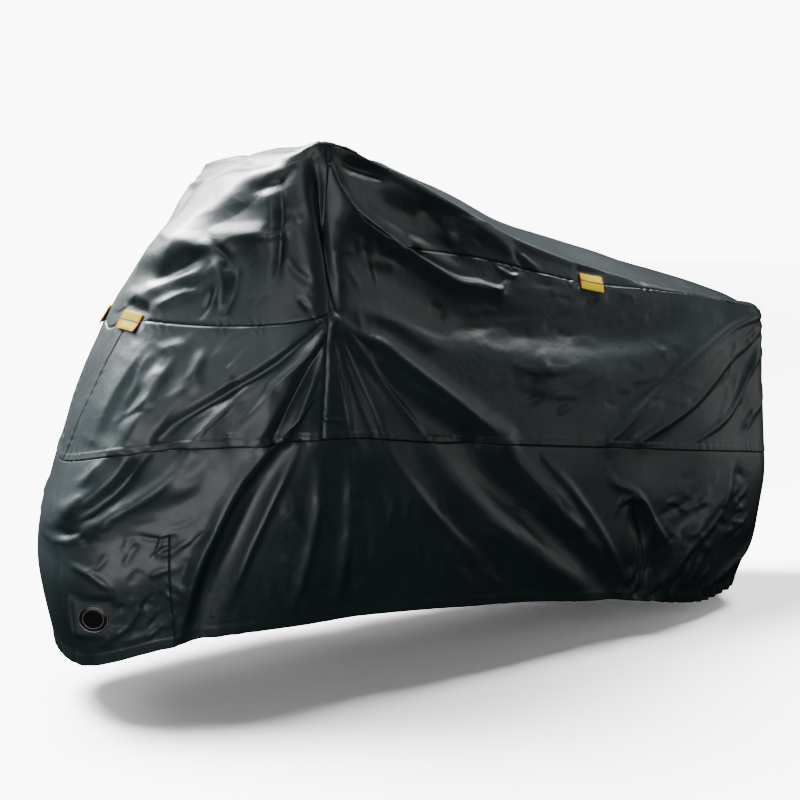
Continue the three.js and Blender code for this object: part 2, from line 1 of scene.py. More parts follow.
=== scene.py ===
"""A fitted motorcycle cover of coated polyester, sewn from fine sheets over its solid panels."""

import json
import math

import bpy
import numpy as np
from bpy.props import FloatProperty, FloatVectorProperty, PointerProperty
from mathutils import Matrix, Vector


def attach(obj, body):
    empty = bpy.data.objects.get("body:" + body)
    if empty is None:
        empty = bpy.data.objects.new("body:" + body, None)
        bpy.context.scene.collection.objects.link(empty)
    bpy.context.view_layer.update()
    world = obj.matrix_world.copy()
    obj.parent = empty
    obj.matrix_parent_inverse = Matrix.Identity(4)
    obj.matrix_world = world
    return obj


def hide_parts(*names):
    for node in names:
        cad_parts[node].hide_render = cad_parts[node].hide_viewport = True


bl_info = {
    "name": "Motorcycle Cover",
    "version": (1, 0, 0),
    "blender": (4, 5, 0),
    "location": "3D View > Sidebar > Cover",
    "description": "Sews a fitted motorcycle cover of coated cloth over its frame",
    "category": "Object",
}

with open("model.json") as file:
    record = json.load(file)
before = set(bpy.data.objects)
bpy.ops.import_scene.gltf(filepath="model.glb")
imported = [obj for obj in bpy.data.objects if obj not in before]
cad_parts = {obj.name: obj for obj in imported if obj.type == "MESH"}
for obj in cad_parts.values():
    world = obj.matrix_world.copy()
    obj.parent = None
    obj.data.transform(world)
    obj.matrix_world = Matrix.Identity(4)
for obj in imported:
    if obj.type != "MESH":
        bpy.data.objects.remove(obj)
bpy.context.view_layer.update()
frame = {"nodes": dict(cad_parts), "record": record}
SLOT_COLOUR = {m["slot"]: tuple(m["base_color"]) for m in frame["record"]["materials"]}

# The form is worked out in millimetres and turned into metres when a mesh is made.
MM = 0.001
LEFT, RIGHT = -1, 1
SIDES = {"left": LEFT, "right": RIGHT}

# The cloth is measured along the cover from the nose (0) to the tail, and up its girth from
# the hem (0) over the middle seam (2) and the upper seam (3) to the crown (5).
ALONG = (0, 150, 380, 680, 1020, 1500, 1950, 2180, 2320)
NOSE, TAIL = ALONG[0], ALONG[-1]
HEM, MIDDLE_SEAM, UPPER_SEAM, PEAK, CROWN = 0, 2, 3, 3.9, 5
GRIP_SEAM = 680
TAIL_SEAM = 2200
FRONT_SEAM_TOP, FRONT_SEAM_BOTTOM = 120, 30
PATCH_START, PATCH_END, PATCH_TOP = 120, 360, 1.2

# Lines of the form at those places: girth, then x along the cover, the half width and the height.
FORM = (
    # hem
    (0, (-1004, -974, -777, -480, -150, 330, 740, 902, 930),
     (0, 130, 227, 265, 270, 255, 210, 130, 0),
     (84, 87, 135, 147, 133, 74, 4, 10, 20)),
    # low
    (0.9, (-1035, -1002, -795, -490, -155, 345, 782, 958, 997),
     (0, 160, 265, 320, 300, 275, 225, 140, 0),
     (290, 300, 330, 340, 320, 270, 200, 180, 175)),
    # middle seam
    (2, (-985, -953, -784, -495, -155, 360, 820, 999, 1038),
     (0, 145, 280, 350, 305, 270, 210, 132, 0),
     (527, 547, 580, 585, 543, 480, 420, 392, 385)),
    # upper seam
    (3, (-866, -832, -702, -492, -210, 300, 755, 972, 1026),
     (0, 130, 270, 375, 270, 195, 149, 112, 0),
     (815, 838, 832, 855, 983, 900, 848, 804, 774)),
    # shoulder
    (4, (-710, -686, -622, -497, -240, 240, 720, 943, 1005),
     (0, 100, 235, 395, 290, 160, 107, 72, 0),
     (1030, 1045, 1094, 1206, 1128, 965, 858, 820, 802)),
    # crown
    (5, (-625, -615, -572, -495, -250, 210, 700, 920, 968),
     (0, 0, 0, 0, 0, 0, 0, 0, 0),
     (1152, 1157, 1173, 1198, 1191, 1040, 913, 851, 829)),
)

# The upper seam leaves the grip near its peak and drops to the level of the seat.
REAR_SEAM_ALONG = (680, 760, 830, 890, 950, 1070, 2320)
REAR_SEAM_GIRTH = (3.9, 3.5, 3.35, 3.22, 3.08, 3, 3)

# Folds, as routes on the side view. Height is out of the cloth, or into it when negative, with
# a width on the left and on the right of the route, the share of the height that is left at
# its start and its end, and how crisp its crest is, from 0, round, to 1, sharp.
FOLD_COLUMNS = ("name", "route", "height", "left", "right", "start", "end", "crisp")
LEFT_FOLDS = (
    ("hood long", ((-524, 1198), (-560, 1170), (-600, 1120), (-650, 1066), (-705, 1010), (-805, 890)),
     24, 48, 60, 0.1, 0.3, 1),
    ("hood second", ((-580, 1025), (-670, 1010), (-755, 965)), 12, 34, 28, 0.8, 0.1, 0.5),
    ("pocket arc", ((-805, 905), (-770, 940), (-690, 970), (-675, 945), (-700, 850)),
     13, 22, 36, 0.2, 0.2, 0.4),
    ("grip valley", ((-525, 1170), (-505, 1090), (-500, 990), (-485, 865)), -16, 26, 26, 0.2, 0.5, 0.2),
    ("grip ridge", ((-552, 1160), (-540, 1050), (-520, 950), (-490, 875)), 10, 24, 26, 0.3, 0.2, 0),
    ("seam fold", ((-490, 1185), (-465, 1125), (-440, 1080), (-380, 1035), (-275, 990), (-110, 915),
     (20, 890)), 18, 26, 44, 0.3, 0.2, 0.6),
    ("tank hollow", ((-400, 1110), (-280, 1065), (-70, 985)), -14, 40, 40, 0.2, 0.2, 0),
    ("star ridge front", ((-487, 845), (-535, 770), (-570, 710), (-630, 600)), 17, 24, 30, 0.3, 0.9, 0.5),
    ("star valley front", ((-495, 790), (-545, 710), (-610, 600)), -14, 24, 24, 0.2, 0.9, 0),
    ("star ridge low", ((-515, 840), (-580, 780), (-640, 710), (-770, 595)), 13, 26, 34, 0.2, 0.8, 0.3),
    ("star valley low", ((-550, 795), (-625, 720), (-815, 595)), -12, 34, 30, 0.2, 0.8, 0),
    ("front ridge", ((-775, 740), (-835, 660), (-890, 575)), 10, 36, 40, 0.1, 0.8, 0),
    ("star ridge rear", ((-470, 845), (-380, 790), (-265, 715), (-150, 640), (5, 540)),
     17, 26, 34, 0.3, 0.7, 0.5),
    ("star valley rear", ((-450, 830), (-320, 700), (-185, 600), (-85, 535)), -12, 26, 30, 0.2, 0.6, 0),
    ("star valley steep", ((-470, 820), (-435, 735), (-370, 575)), -11, 24, 24, 0.2, 0.7, 0.2),
    ("swag valley", ((-285, 875), (-50, 815), (195, 775), (470, 760), (700, 785)), -22, 60, 60, 0.1, 0.2, 0),
    ("swag ridge", ((-200, 785), (5, 735), (215, 700), (460, 700), (695, 735), (930, 800)),
     15, 60, 60, 0.1, 0.4, 0),
    ("tail ray upper", ((900, 790), (760, 715), (600, 630), (340, 505)), 12, 30, 30, 0.3, 0.6, 0.4),
    ("tail ray lower", ((930, 780), (745, 650), (590, 570), (445, 490)), 12, 28, 28, 0.3, 0.6, 0.4),
    ("skirt edge", ((-590, 590), (-650, 520), (-690, 450), (-755, 290), (-790, 150)),
     20, 24, 70, 0.8, 0.5, 0.5),
    ("skirt dark", ((-555, 590), (-620, 510), (-660, 435), (-725, 275), (-750, 150)),
     -18, 28, 28, 0.8, 0.5, 0),
    ("nose fold upper", ((-905, 560), (-940, 500), (-1020, 395)), 15, 24, 26, 0.5, 0.6, 0.5),
    ("nose valley", ((-865, 560), (-900, 500), (-1005, 390)), -14, 26, 26, 0.4, 0.5, 0),
    ("nose fold lower", ((-720, 580), (-785, 515), (-875, 460), (-1015, 370)), 13, 24, 34, 0.6, 0.5, 0.5),
    ("fan ridge front", ((-210, 525), (-110, 415), (20, 300), (165, 195), (330, 90)),
     18, 36, 42, 0.6, 0.5, 0.3),
    ("fan valley", ((-90, 520), (-10, 425), (100, 330), (260, 195), (370, 85)), -24, 45, 45, 0.6, 0.7, 0),
    ("fan ridge rear", ((5, 510), (120, 385), (220, 285), (325, 160), (385, 85)),
     17, 30, 30, 0.6, 0.6, 0.4),
    ("fan ridge low", ((-325, 545), (-240, 415), (-145, 255), (-75, 140)), 10, 40, 40, 0.5, 0.3, 0.2),
    ("arch valley", ((375, 300), (410, 310), (450, 255), (500, 160), (520, 65)), -16, 28, 28, 0.1, 0.9, 0),
    ("rear ridge", ((810, 405), (745, 310), (625, 210), (540, 80)), 13, 36, 36, 0.3, 0.6, 0.3),
)

# The right side hangs more quietly, with folds of its own.
RIGHT_FOLDS = (
    ("hood long", ((-560, 1160), (-620, 1085), (-690, 1000), (-780, 880)), 10, 34, 50, 0.2, 0.2, 0.5),
    ("grip slack", ((-585, 1150), (-555, 1185), (-520, 1205)), -16, 42, 42, 0.3, 0.1, 0),
    ("grip valley", ((-520, 1165), (-500, 1060), (-490, 960), (-480, 870)), -14, 28, 28, 0.2, 0.4, 0.2),
    ("grip ridge", ((-470, 1150), (-400, 1040), (-290, 975), (-120, 915)), 14, 30, 40, 0.3, 0.2, 0.5),
    ("tank hollow", ((-380, 1100), (-230, 1040), (-60, 985)), -12, 40, 40, 0.2, 0.2, 0),
    ("star ridge front", ((-500, 835), (-580, 730), (-680, 600)), 15, 30, 30, 0.3, 0.8, 0.5),
    ("star valley front", ((-480, 820), (-530, 700), (-580, 600)), -12, 28, 28, 0.2, 0.8, 0),
    ("star ridge rear", ((-465, 840), (-330, 740), (-190, 640), (-60, 550)), 15, 32, 32, 0.3, 0.7, 0.5),
    ("star valley rear", ((-450, 810), (-350, 690), (-260, 570)), -12, 30, 30, 0.2, 0.7, 0),
    ("swag valley", ((-250, 870), (0, 800), (260, 770), (650, 790)), -16, 60, 60, 0.1, 0.2, 0),
    ("swag ridge", ((-150, 760), (100, 700), (400, 690), (880, 780)), 12, 60, 60, 0.1, 0.4, 0),
    ("tail ray", ((910, 780), (760, 670), (560, 540)), 12, 32, 32, 0.3, 0.6, 0.4),
    ("skirt front", ((-640, 590), (-720, 440), (-800, 200)), 16, 40, 50, 0.7, 0.4, 0.4),
    ("skirt hollow", ((-560, 590), (-620, 430), (-690, 180)), -14, 36, 36, 0.7, 0.4, 0),
    ("skirt ridge", ((-300, 570), (-260, 400), (-230, 160)), 12, 44, 44, 0.5, 0.5, 0.2),
    ("fan ridge", ((-100, 540), (60, 350), (260, 130)), 15, 40, 40, 0.5, 0.5, 0.3),
    ("fan valley", ((30, 520), (190, 330), (350, 110)), -16, 44, 44, 0.5, 0.5, 0),
    ("rear ridge", ((760, 420), (640, 250), (520, 80)), 13, 36, 36, 0.3, 0.6, 0.3),
)

# Creases that are too narrow for the solid panels.
LEFT_CREASES = (
    ("streak high", ((-545, 1188), (-570, 1185), (-605, 1165), (-650, 1140)), -8, 8, 8, 0.3, 0.1, 0.5),
    ("streak second", ((-545, 1176), (-580, 1158), (-615, 1142), (-660, 1115)), -10, 8, 8, 0.3, 0.1, 0.5),
    ("hood ridge", ((-524, 1198), (-548, 1185), (-570, 1163), (-590, 1139), (-619, 1101), (-648, 1067),
     (-681, 1039), (-704, 1008), (-743, 960), (-783, 916), (-812, 885)), 13, 10, 46, 0.3, 0.6, 1),
    ("hood deep", ((-560, 1152), (-576, 1128), (-612, 1096)), -9, 10, 9, 0.5, 0.3, 0.5),
    ("facet edge", ((-573, 1125), (-573, 1090), (-576, 1049), (-578, 1027), (-587, 956), (-595, 910)),
     -11, 5, 8, 0.5, 0.1, 1),
    ("facet side", ((-588, 1120), (-590, 1075), (-592, 1035)), 10, 16, 9, 0.2, 0.2, 0.4),
    ("second crest", ((-578, 1027), (-613, 1018), (-645, 1007), (-669, 990), (-706, 979), (-733, 965)),
     9, 9, 16, 1, 0.2, 1),
    ("second tip", ((-575, 1040), (-590, 1030), (-608, 1026)), -8, 6, 6, 0.5, 0.1, 0.5),
    ("crescent", ((-798, 899), (-768, 926), (-724, 955), (-693, 974), (-670, 980)),
     -19, 11, 15, 0.2, 0.3, 0.8),
    ("pocket line", ((-690, 972), (-679, 945), (-679, 915), (-687, 890), (-697, 862)),
     8, 6, 14, 0.3, 0.1, 0.8),
    ("notch", ((-677, 1002), (-670, 980), (-664, 962), (-674, 938)), -8, 7, 7, 0.3, 0.1, 0.5),
    ("streak pocket", ((-822, 872), (-775, 908), (-730, 930), (-698, 948)), 8, 7, 10, 0.2, 0.1, 0.6),
    ("streak pocket low", ((-800, 862), (-755, 890), (-715, 905)), 7, 7, 8, 0.2, 0.1, 0.6),
    ("line to seam", ((-690, 912), (-708, 880), (-724, 852)), -7, 5, 6, 0.2, 0.5, 0.6),
    ("line to seam rear", ((-652, 962), (-662, 905), (-684, 855)), -7, 6, 8, 0.1, 0.6, 0.6),
    ("small nick", ((-572, 1064), (-556, 1060), (-543, 1048)), 6, 5, 5, 0.2, 0.1, 0.6),
    ("small diagonal", ((-577, 978), (-555, 945), (-522, 920)), -6, 5, 7, 0.1, 0.1, 0.6),
    ("small diagonal low", ((-552, 890), (-540, 876), (-528, 864)), -5, 5, 5, 0.2, 0.1, 0.6),
    ("peak ridge", ((-545, 1178), (-530, 1080), (-500, 960), (-487, 885)), 8, 9, 12, 0.2, 0.3, 0.6),
    ("peak valley", ((-523, 1172), (-503, 1060), (-484, 945), (-470, 862)), -12, 8, 8, 0.2, 0.5, 0.5),
    ("fold edge", ((-492, 1160), (-475, 1130), (-455, 1098), (-435, 1072), (-395, 1050), (-345, 1020),
     (-295, 995), (-240, 970), (-180, 940), (-115, 912), (-55, 905), (15, 890)),
     14, 6, 20, 0.5, 0.6, 0.9),
    ("fold edge lee", ((-470, 1140), (-425, 1080), (-345, 1034), (-240, 984), (-115, 928), (-40, 920)),
     -12, 12, 8, 0.3, 0.2, 0.3),
    ("fold tip", ((48, 915), (17, 888), (-15, 895)), 8, 6, 6, 0.2, 0.2, 0.7),
    ("under outline", ((-470, 1168), (-400, 1158), (-315, 1142)), -15, 12, 14, 0.2, 0.1, 0.2),
    ("near ridge", ((-459, 1194), (-407, 1184), (-344, 1165), (-273, 1147), (-195, 1117), (-123, 1089),
     (-36, 1050), (71, 1007), (185, 977), (292, 948), (399, 918), (484, 891)), 9, 7, 12, 0.3, 0.5, 1),
    ("top hollow", ((-225, 1090), (-160, 1060), (-120, 1025), (-108, 980)), -15, 16, 20, 0.1, 0.2, 0.2),
    ("top bulge", ((-90, 1052), (10, 1010), (88, 962)), 14, 16, 20, 0.1, 0.3, 0.4),
    ("top nick", ((85, 975), (118, 952), (152, 932)), 8, 6, 8, 0.1, 0.2, 0.7),
    ("top nick low", ((60, 985), (92, 955), (100, 930)), -8, 7, 7, 0.1, 0.3, 0.6),
    ("seam tuck", ((8, 948), (55, 922), (92, 928)), 7, 5, 7, 0.1, 0.1, 0.8),
    ("star bright right", ((-468, 846), (-410, 806), (-345, 785), (-305, 752), (-235, 702), (-145, 642),
     (-35, 562)), 10, 7, 14, 0.6, 0.2, 0.8),
    ("star right lee", ((-455, 830), (-390, 785), (-310, 735), (-235, 680), (-150, 620)),
     -10, 9, 8, 0.4, 0.1, 0.3),
    ("star upper right", ((-445, 868), (-325, 838), (-250, 802), (-140, 758)), 10, 14, 22, 0.2, 0.1, 0.4),
    ("star left bright", ((-486, 846), (-540, 772), (-602, 715), (-622, 680), (-682, 612)),
     10, 14, 7, 0.6, 0.3, 0.8),
    ("star left black", ((-489, 830), (-533, 735), (-578, 650), (-607, 592)), -14, 8, 8, 0.4, 0.6, 0.4),
    ("star left second", ((-503, 755), (-525, 705), (-556, 630), (-582, 592)), 8, 8, 8, 0.1, 0.6, 0.6),
    ("star left valley", ((-487, 850), (-550, 796), (-615, 742), (-700, 690), (-785, 636), (-828, 598)),
     -10, 9, 9, 0.5, 0.4, 0.4),
    ("ray down steep", ((-478, 800), (-452, 715), (-432, 635), (-418, 575)), 7, 7, 7, 0.2, 0.4, 0.6),
    ("ray down middle", ((-470, 822), (-430, 745), (-385, 660), (-345, 572)), 8, 8, 8, 0.4, 0.4, 0.6),
    ("ray down far", ((-455, 825), (-375, 742), (-300, 650), (-225, 558)), 8, 8, 9, 0.4, 0.4, 0.6),
    ("swag nicks", ((20, 712), (90, 697), (170, 688), (255, 694)), 5, 6, 9, 0.1, 0.1, 0.6),
    ("tail ray one", ((1010, 790), (860, 770), (710, 714), (535, 625), (325, 493)), 8, 7, 12, 0.5, 0.3, 0.7),
    ("tail ray two", ((1010, 770), (790, 662), (635, 562), (430, 484)), 8, 8, 10, 0.5, 0.3, 0.7),
    ("tail ray three", ((1000, 740), (945, 690), (815, 538), (640, 468)), 8, 9, 10, 0.4, 0.3, 0.6),
    ("nose bright", ((-878, 565), (-915, 507), (-970, 452), (-1018, 395)), 10, 6, 10, 0.5, 0.3, 0.9),
    ("nose dark", ((-850, 565), (-900, 500), (-950, 450), (-990, 420)), -12, 8, 9, 0.4, 0.2, 0.4),
    ("nose bright low", ((-765, 572), (-825, 502), (-885, 457), (-955, 415), (-1005, 372)),
     10, 7, 12, 0.4, 0.3, 0.8),
    ("nose tip", ((-1010, 383), (-995, 392), (-972, 402)), -12, 7, 7, 0.2, 0.1, 0.6),
    ("nose short", ((-958, 482), (-985, 450), (-1008, 428)), 7, 6, 7, 0.2, 0.2, 0.7),
    ("nose short high", ((-920, 552), (-950, 512), (-978, 482)), 7, 6, 7, 0.3, 0.1, 0.7),
    ("skirt border", ((-612, 575), (-680, 490), (-722, 400), (-760, 300), (-782, 160)),
     12, 7, 14, 0.7, 0.3, 0.7),
    ("skirt border lee", ((-590, 570), (-655, 490), (-697, 415), (-738, 300), (-760, 180)),
     -14, 11, 11, 0.6, 0.3, 0.2),
    ("skirt second", ((-548, 575), (-600, 465), (-650, 345), (-688, 220)), 10, 9, 12, 0.5, 0.2, 0.5),
    ("patch wrinkle", ((-818, 292), (-800, 280), (-778, 262)), 5, 5, 5, 0.1, 0.1, 0.6),
    ("patch wrinkle low", ((-822, 267), (-805, 251), (-786, 236)), 5, 5, 5, 0.1, 0.1, 0.6),
    ("low front wrinkle", ((-1003, 332), (-965, 310), (-922, 272)), 6, 6, 8, 0.1, 0.1, 0.6),
    ("middle wrinkle", ((-812, 478), (-780, 491), (-748, 507)), 5, 6, 7, 0.1, 0.1, 0.6),
    ("pleat", ((322, 428), (360, 386), (425, 356), (470, 295), (540, 205), (585, 190)),
     10, 7, 12, 0.1, 0.2, 0.8),
    ("arch", ((378, 318), (410, 325), (436, 308), (462, 250), (462, 180), (452, 70)),
     -15, 14, 10, 0.1, 0.8, 0.3),
    ("arch rim", ((356, 305), (395, 340), (450, 325), (482, 250), (490, 170)), 10, 8, 10, 0.1, 0.3, 0.7),
    ("fan fine front", ((-325, 537), (-255, 440), (-150, 330), (-30, 210)), 7, 9, 12, 0.4, 0.1, 0.5),
    ("fan fine rear", ((125, 477), (220, 375), (305, 270), (405, 120)), 10, 9, 12, 0.4, 0.4, 0.6),
    ("rear ridge fine", ((787, 378), (735, 262), (600, 160), (528, 75)), 8, 8, 12, 0.2, 0.5, 0.7),
    ("rear corner", ((1000, 360), (985, 240), (900, 110), (715, 40)), 8, 12, 14, 0.1, 0.4, 0.4),
    ("skirt middle", ((-425, 540), (-420, 415), (-425, 300), (-437, 165)), 7, 12, 16, 0.4, 0.2, 0.3),
    ("skirt middle front", ((-500, 525), (-502, 405), (-522, 285), (-548, 170)), 7, 12, 14, 0.4, 0.2, 0.3),
    ("front ridge one", ((-750, 805), (-805, 732), (-855, 636), (-892, 572)), 7, 10, 14, 0.3, 0.5, 0.4),
    ("front ridge two", ((-715, 800), (-760, 722), (-820, 630), (-857, 568)), 5, 10, 12, 0.2, 0.5, 0.4),
    ("front streak", ((-820, 795), (-885, 695), (-937, 588)), 8, 9, 14, 0.2, 0.4, 0.4),
    ("front streak low", ((-670, 683), (-720, 642), (-772, 583)), 7, 7, 9, 0.1, 0.4, 0.6),
)
RIGHT_CREASES = (
    ("hood border", ((-560, 1172), (-640, 1092), (-715, 1010)), -12, 9, 12, 0.2, 0.2, 0.6),
    ("facet edge", ((-560, 1120), (-568, 1040), (-585, 960)), -12, 8, 12, 0.3, 0.1, 0.7),
    ("fold edge", ((-480, 1160), (-430, 1070), (-320, 1000), (-170, 935), (-20, 890)),
     12, 7, 18, 0.5, 0.3, 0.8),
    ("top hollow", ((-240, 1085), (-150, 1045), (-110, 985)), -14, 16, 18, 0.1, 0.2, 0.2),
    ("star bright rear", ((-465, 840), (-350, 755), (-215, 660), (-85, 568)), 10, 7, 14, 0.6, 0.2, 0.8),
    ("star bright front", ((-490, 835), (-580, 735), (-690, 598)), 10, 12, 7, 0.6, 0.3, 0.8),
    ("star black", ((-482, 825), (-535, 710), (-590, 592)), -12, 8, 8, 0.4, 0.5, 0.4),
    ("ray down", ((-462, 815), (-400, 700), (-340, 572)), 8, 8, 8, 0.3, 0.4, 0.6),
    ("tail ray", ((1005, 785), (800, 690), (600, 575), (440, 480)), 8, 8, 11, 0.5, 0.3, 0.7),
    ("tail ray low", ((1005, 755), (850, 600), (690, 475)), 8, 8, 11, 0.4, 0.3, 0.6),
    ("nose bright", ((-880, 565), (-930, 490), (-1010, 400)), 10, 7, 11, 0.5, 0.3, 0.8),
    ("nose dark", ((-840, 565), (-900, 480), (-980, 405)), -10, 8, 9, 0.4, 0.2, 0.4),
    ("skirt border", ((-620, 575), (-700, 440), (-770, 220)), 10, 8, 14, 0.6, 0.3, 0.6),
    ("fan fine", ((-60, 535), (90, 340), (290, 120)), 8, 9, 12, 0.4, 0.3, 0.6),
    ("fan fine rear", ((110, 475), (240, 310), (380, 100)), 8, 9, 12, 0.4, 0.3, 0.6),
    ("rear ridge fine", ((760, 415), (640, 248), (520, 75)), 8, 8, 12, 0.3, 0.5, 0.7),
)

# Small wrinkles scattered over parts of the side view: the middle and spread of each patch,
# their direction and its spread in degrees, how many, and their length, height and width.
SCATTER_COLUMNS = ("name", "middle", "spread", "turn", "turn_spread", "count", "length", "height", "width")
SCATTERED = (
    ("hood", (-660, 1000), (90, 120), 45, 25, 12, 70, 1.2, 6),
    ("front side", (-760, 720), (110, 80), 52, 14, 22, 90, 3, 6.8),
    ("grip", (-400, 960), (70, 130), 110, 30, 12, 60, 2.25, 6),
    ("tank", (-200, 1010), (150, 50), -22, 14, 14, 80, 2.7, 6.8),
    ("rear side high", (150, 800), (350, 60), -5, 12, 24, 90, 2.4, 6.8),
    ("rear side", (250, 660), (380, 80), 4, 18, 34, 80, 2.25, 6),
    ("tail", (850, 620), (120, 120), 40, 14, 22, 90, 3, 6),
    ("front skirt", (-870, 380), (110, 90), 35, 22, 26, 70, 3, 5.1),
    ("front hem", (-850, 200), (100, 50), 60, 30, 22, 50, 3, 5.1),
    ("middle skirt", (-350, 340), (230, 120), -62, 18, 34, 90, 2.4, 6.8),
    ("fan", (100, 300), (220, 120), -45, 12, 28, 100, 2.7, 6.8),
    ("rear skirt", (680, 260), (180, 110), -5, 26, 40, 70, 2.7, 6),
    ("rear hem", (560, 110), (150, 50), 80, 22, 26, 60, 4.5, 6),
    ("seat", (450, 880), (350, 25), -8, 10, 18, 80, 1.95, 6),
)
SCATTER_SEED = 11

# Over this much of the width each way, the folds of one side turn into those of the other.
FOLD_BLEND = 70
FOLD_REACH = 3.2
FADE = 0.3
CREST_ROUND, FLANK_REACH, FLANK_CURVE = 0.12, 1.9, 1.35

# Slow waves of slack cloth.
WAVE_COUNT = 14
WAVE_LENGTHS = (110, 420)
WAVE_HEIGHT = 1.1
WAVE_SEED = 5

# Sizes of what is sewn, in millimetres.
CLOTH = 2
GAP = 0.3
RIM_GAP = 0.1
PIPING_RADIUS = 3
HEM_DEPTH = 0.1
HEM_ROLL = 1.2
PATCH_PROUD = 1
BAND_DEPTH = 13
BAND_PROUD = 1.1

# The cloth between the grips: where it rises and hangs slack, and by how much.
BAR_X, BAR_REACH = -500, 75
RISE_Y, RISE_REACH, RISE_HEIGHT = 150, 120, 16
SLACK_Y, SLACK_HEIGHT = (310, 390), 18

# Grooves, puckers and gathers of the sewing: height, then reach.
SEAM_GROOVE, SEAM_PUCKER = (2.2, 3.2), (1.9, 15)
BAND_PUCKER, SKIRT_GROOVE = (0.9, 24), (0.6, 9)
GRIP_GATHER_REACH, GRIP_GROOVE_REACH, HEM_GATHER_REACH = 42, 5, 55

# A reflective tab and what is seen on it, with the painted shade that darkens the yellow of the front tabs,
# the last two in metres.
TAB_HALF_WIDTH, TAB_HALF_HEIGHT, TAB_THICKNESS, TAB_CORNER = 36, 23, 1.2, 3.5
TAB_GROOVE, TAB_GROOVE_INSET, TAB_GROOVE_REACH = 0.35, 3.2, 0.7
TAB_PAINTED_SHADE = {"front": 0.6, "rear": 1.0}
TAB_STRIPE_HALF, TAB_BORDER = 0.0022, 0.0335

# The painted shade inside an eyelet's hole, full within the first radius and gone past the second, and the
# crests of its profile that get a painted highlight: radii, half width and foot.
EYELET_PAINTED_SHADE = (21, 27)
PAINTED_HIGHLIGHT_RADII, PAINTED_HIGHLIGHT_HALF, PAINTED_HIGHLIGHT_FOOT = (31.4, 21.9), 0.9, 2.9


def clamp_smooth(low, high, at):
    """0 below low, 1 above high, and a smooth turn between them."""
    t = np.clip((at - low) / (high - low), 0, 1)
    return t * t * (3 - 2 * t)


def unit(vectors):
    """The vectors at a length of one."""
    return vectors / np.linalg.norm(vectors, axis=1)[:, None]


def bell(distance, reach):
    """1 at no distance, and a smooth fall on both sides."""
    return np.exp(-((distance / reach) ** 2))


def wavering(run, length, wobble, slow, shift=0):
    """A wave along a run, whose length wavers slowly."""
    return np.sin(2 * math.pi * run / length + wobble * np.sin(run / slow) + shift)


def filled(along, value):
    """One number for each place along the cover."""
    return np.full(len(along), float(value))


def on_middle(along, girth):
    """Which places lie in the middle plane, where both sides meet."""
    return (along < NOSE + 0.01) | (along > TAIL - 0.01) | (girth > CROWN - 0.001)


def ring_faces(rows, sides):
    """Faces of rows of points that come round both ways."""
    index = np.arange(rows * sides).reshape(rows, sides)
    beyond = np.roll(index, -1, axis=0)
    corners = [index, beyond, np.roll(beyond, -1, axis=1), np.roll(index, -1, axis=1)]
    return np.stack(corners, axis=2).reshape(-1, 4)


def run_of(line):
    """Length from the start of a line to each of its points."""
    return np.concatenate([[0], np.cumsum(np.linalg.norm(np.diff(line, axis=0), axis=1))])


def grid_faces(shape):
    """Faces between the points of a grid of that many columns and rows."""
    index = np.arange(shape[0] * shape[1]).reshape(shape)
    corners = [index[:-1, :-1], index[1:, :-1], index[1:, 1:], index[:-1, 1:]]
    return np.stack([c.ravel() for c in corners], axis=1)


def closed_faces(faces, rim, count):
    """Faces of a sheet, of its back, whose points come count later, and of the walls at its rim."""
    walls = np.column_stack([rim[:, 1], rim[:, 0], rim[:, 0] + count, rim[:, 1] + count])
    return np.vstack([faces, faces[:, ::-1] + count, walls])


def smooth_curve(knots, values, at):
    """A smooth curve through values (knot, place, number), which doesn't overshoot, at the places."""
    wide = np.diff(knots)[:, None, None]
    step = np.diff(values, axis=0) / wide
    mean = (wide[1:] * step[:-1] + wide[:-1] * step[1:]) / (wide[1:] + wide[:-1])
    steepest = 3 * np.minimum(abs(step[:-1]), abs(step[1:]))
    inner = np.where(step[:-1] * step[1:] > 0, np.clip(mean, -steepest, steepest), 0)
    slope = np.concatenate([step[:1], inner, step[-1:]])
    i = np.clip(np.searchsorted(knots, at, side="right") - 1, 0, len(knots) - 2)
    place = np.arange(len(at)) if values.shape[1] > 1 else np.zeros(len(at), int)
    w = np.diff(knots)[i][:, None]
    u = ((at - np.asarray(knots)[i]) / w[:, 0])[:, None]
    start = (1 + 2 * u) * (1 - u) ** 2 * values[i, place] + u * (1 - u) ** 2 * w * slope[i, place]
    end = u * u * (3 - 2 * u) * values[i + 1, place] + u * u * (u - 1) * w * slope[i + 1, place]
    return start + end


def form_table():
    """Knots along the cover and their values (knot, 1, line x number), closed past nose and tail."""
    values = np.array([[x, w, z] for _, x, w, z in FORM], float)
    flip = np.array([1, -1, 1])[None, :, None]
    before = (values * flip)[:, :, 2:0:-1]
    after = (values * flip)[:, :, -2:-4:-1]
    closed = np.concatenate([before, values, after], axis=2)
    knots = np.array([-ALONG[2], -ALONG[1], *ALONG, 2 * TAIL - ALONG[-2], 2 * TAIL - ALONG[-3]], float)
    return knots, np.moveaxis(closed, 2, 0).reshape(len(knots), 1, -1)


FORM_KNOTS, FORM_VALUES = form_table()
GIRTH_KNOTS = np.array([line[0] for line in FORM] + [6, 7], float)


def form_points(along, girth, side):
    """Points of the smooth form, without its folds."""
    lines = smooth_curve(FORM_KNOTS, FORM_VALUES, along).reshape(len(along), len(FORM), 3)
    beyond = lines[:, -2:-4:-1] * np.array([1, -1, 1])
    arch = np.moveaxis(np.concatenate([lines, beyond], axis=1), 1, 0)
    points = smooth_curve(GIRTH_KNOTS, arch, girth)
    points[:, 1] *= side
    return points


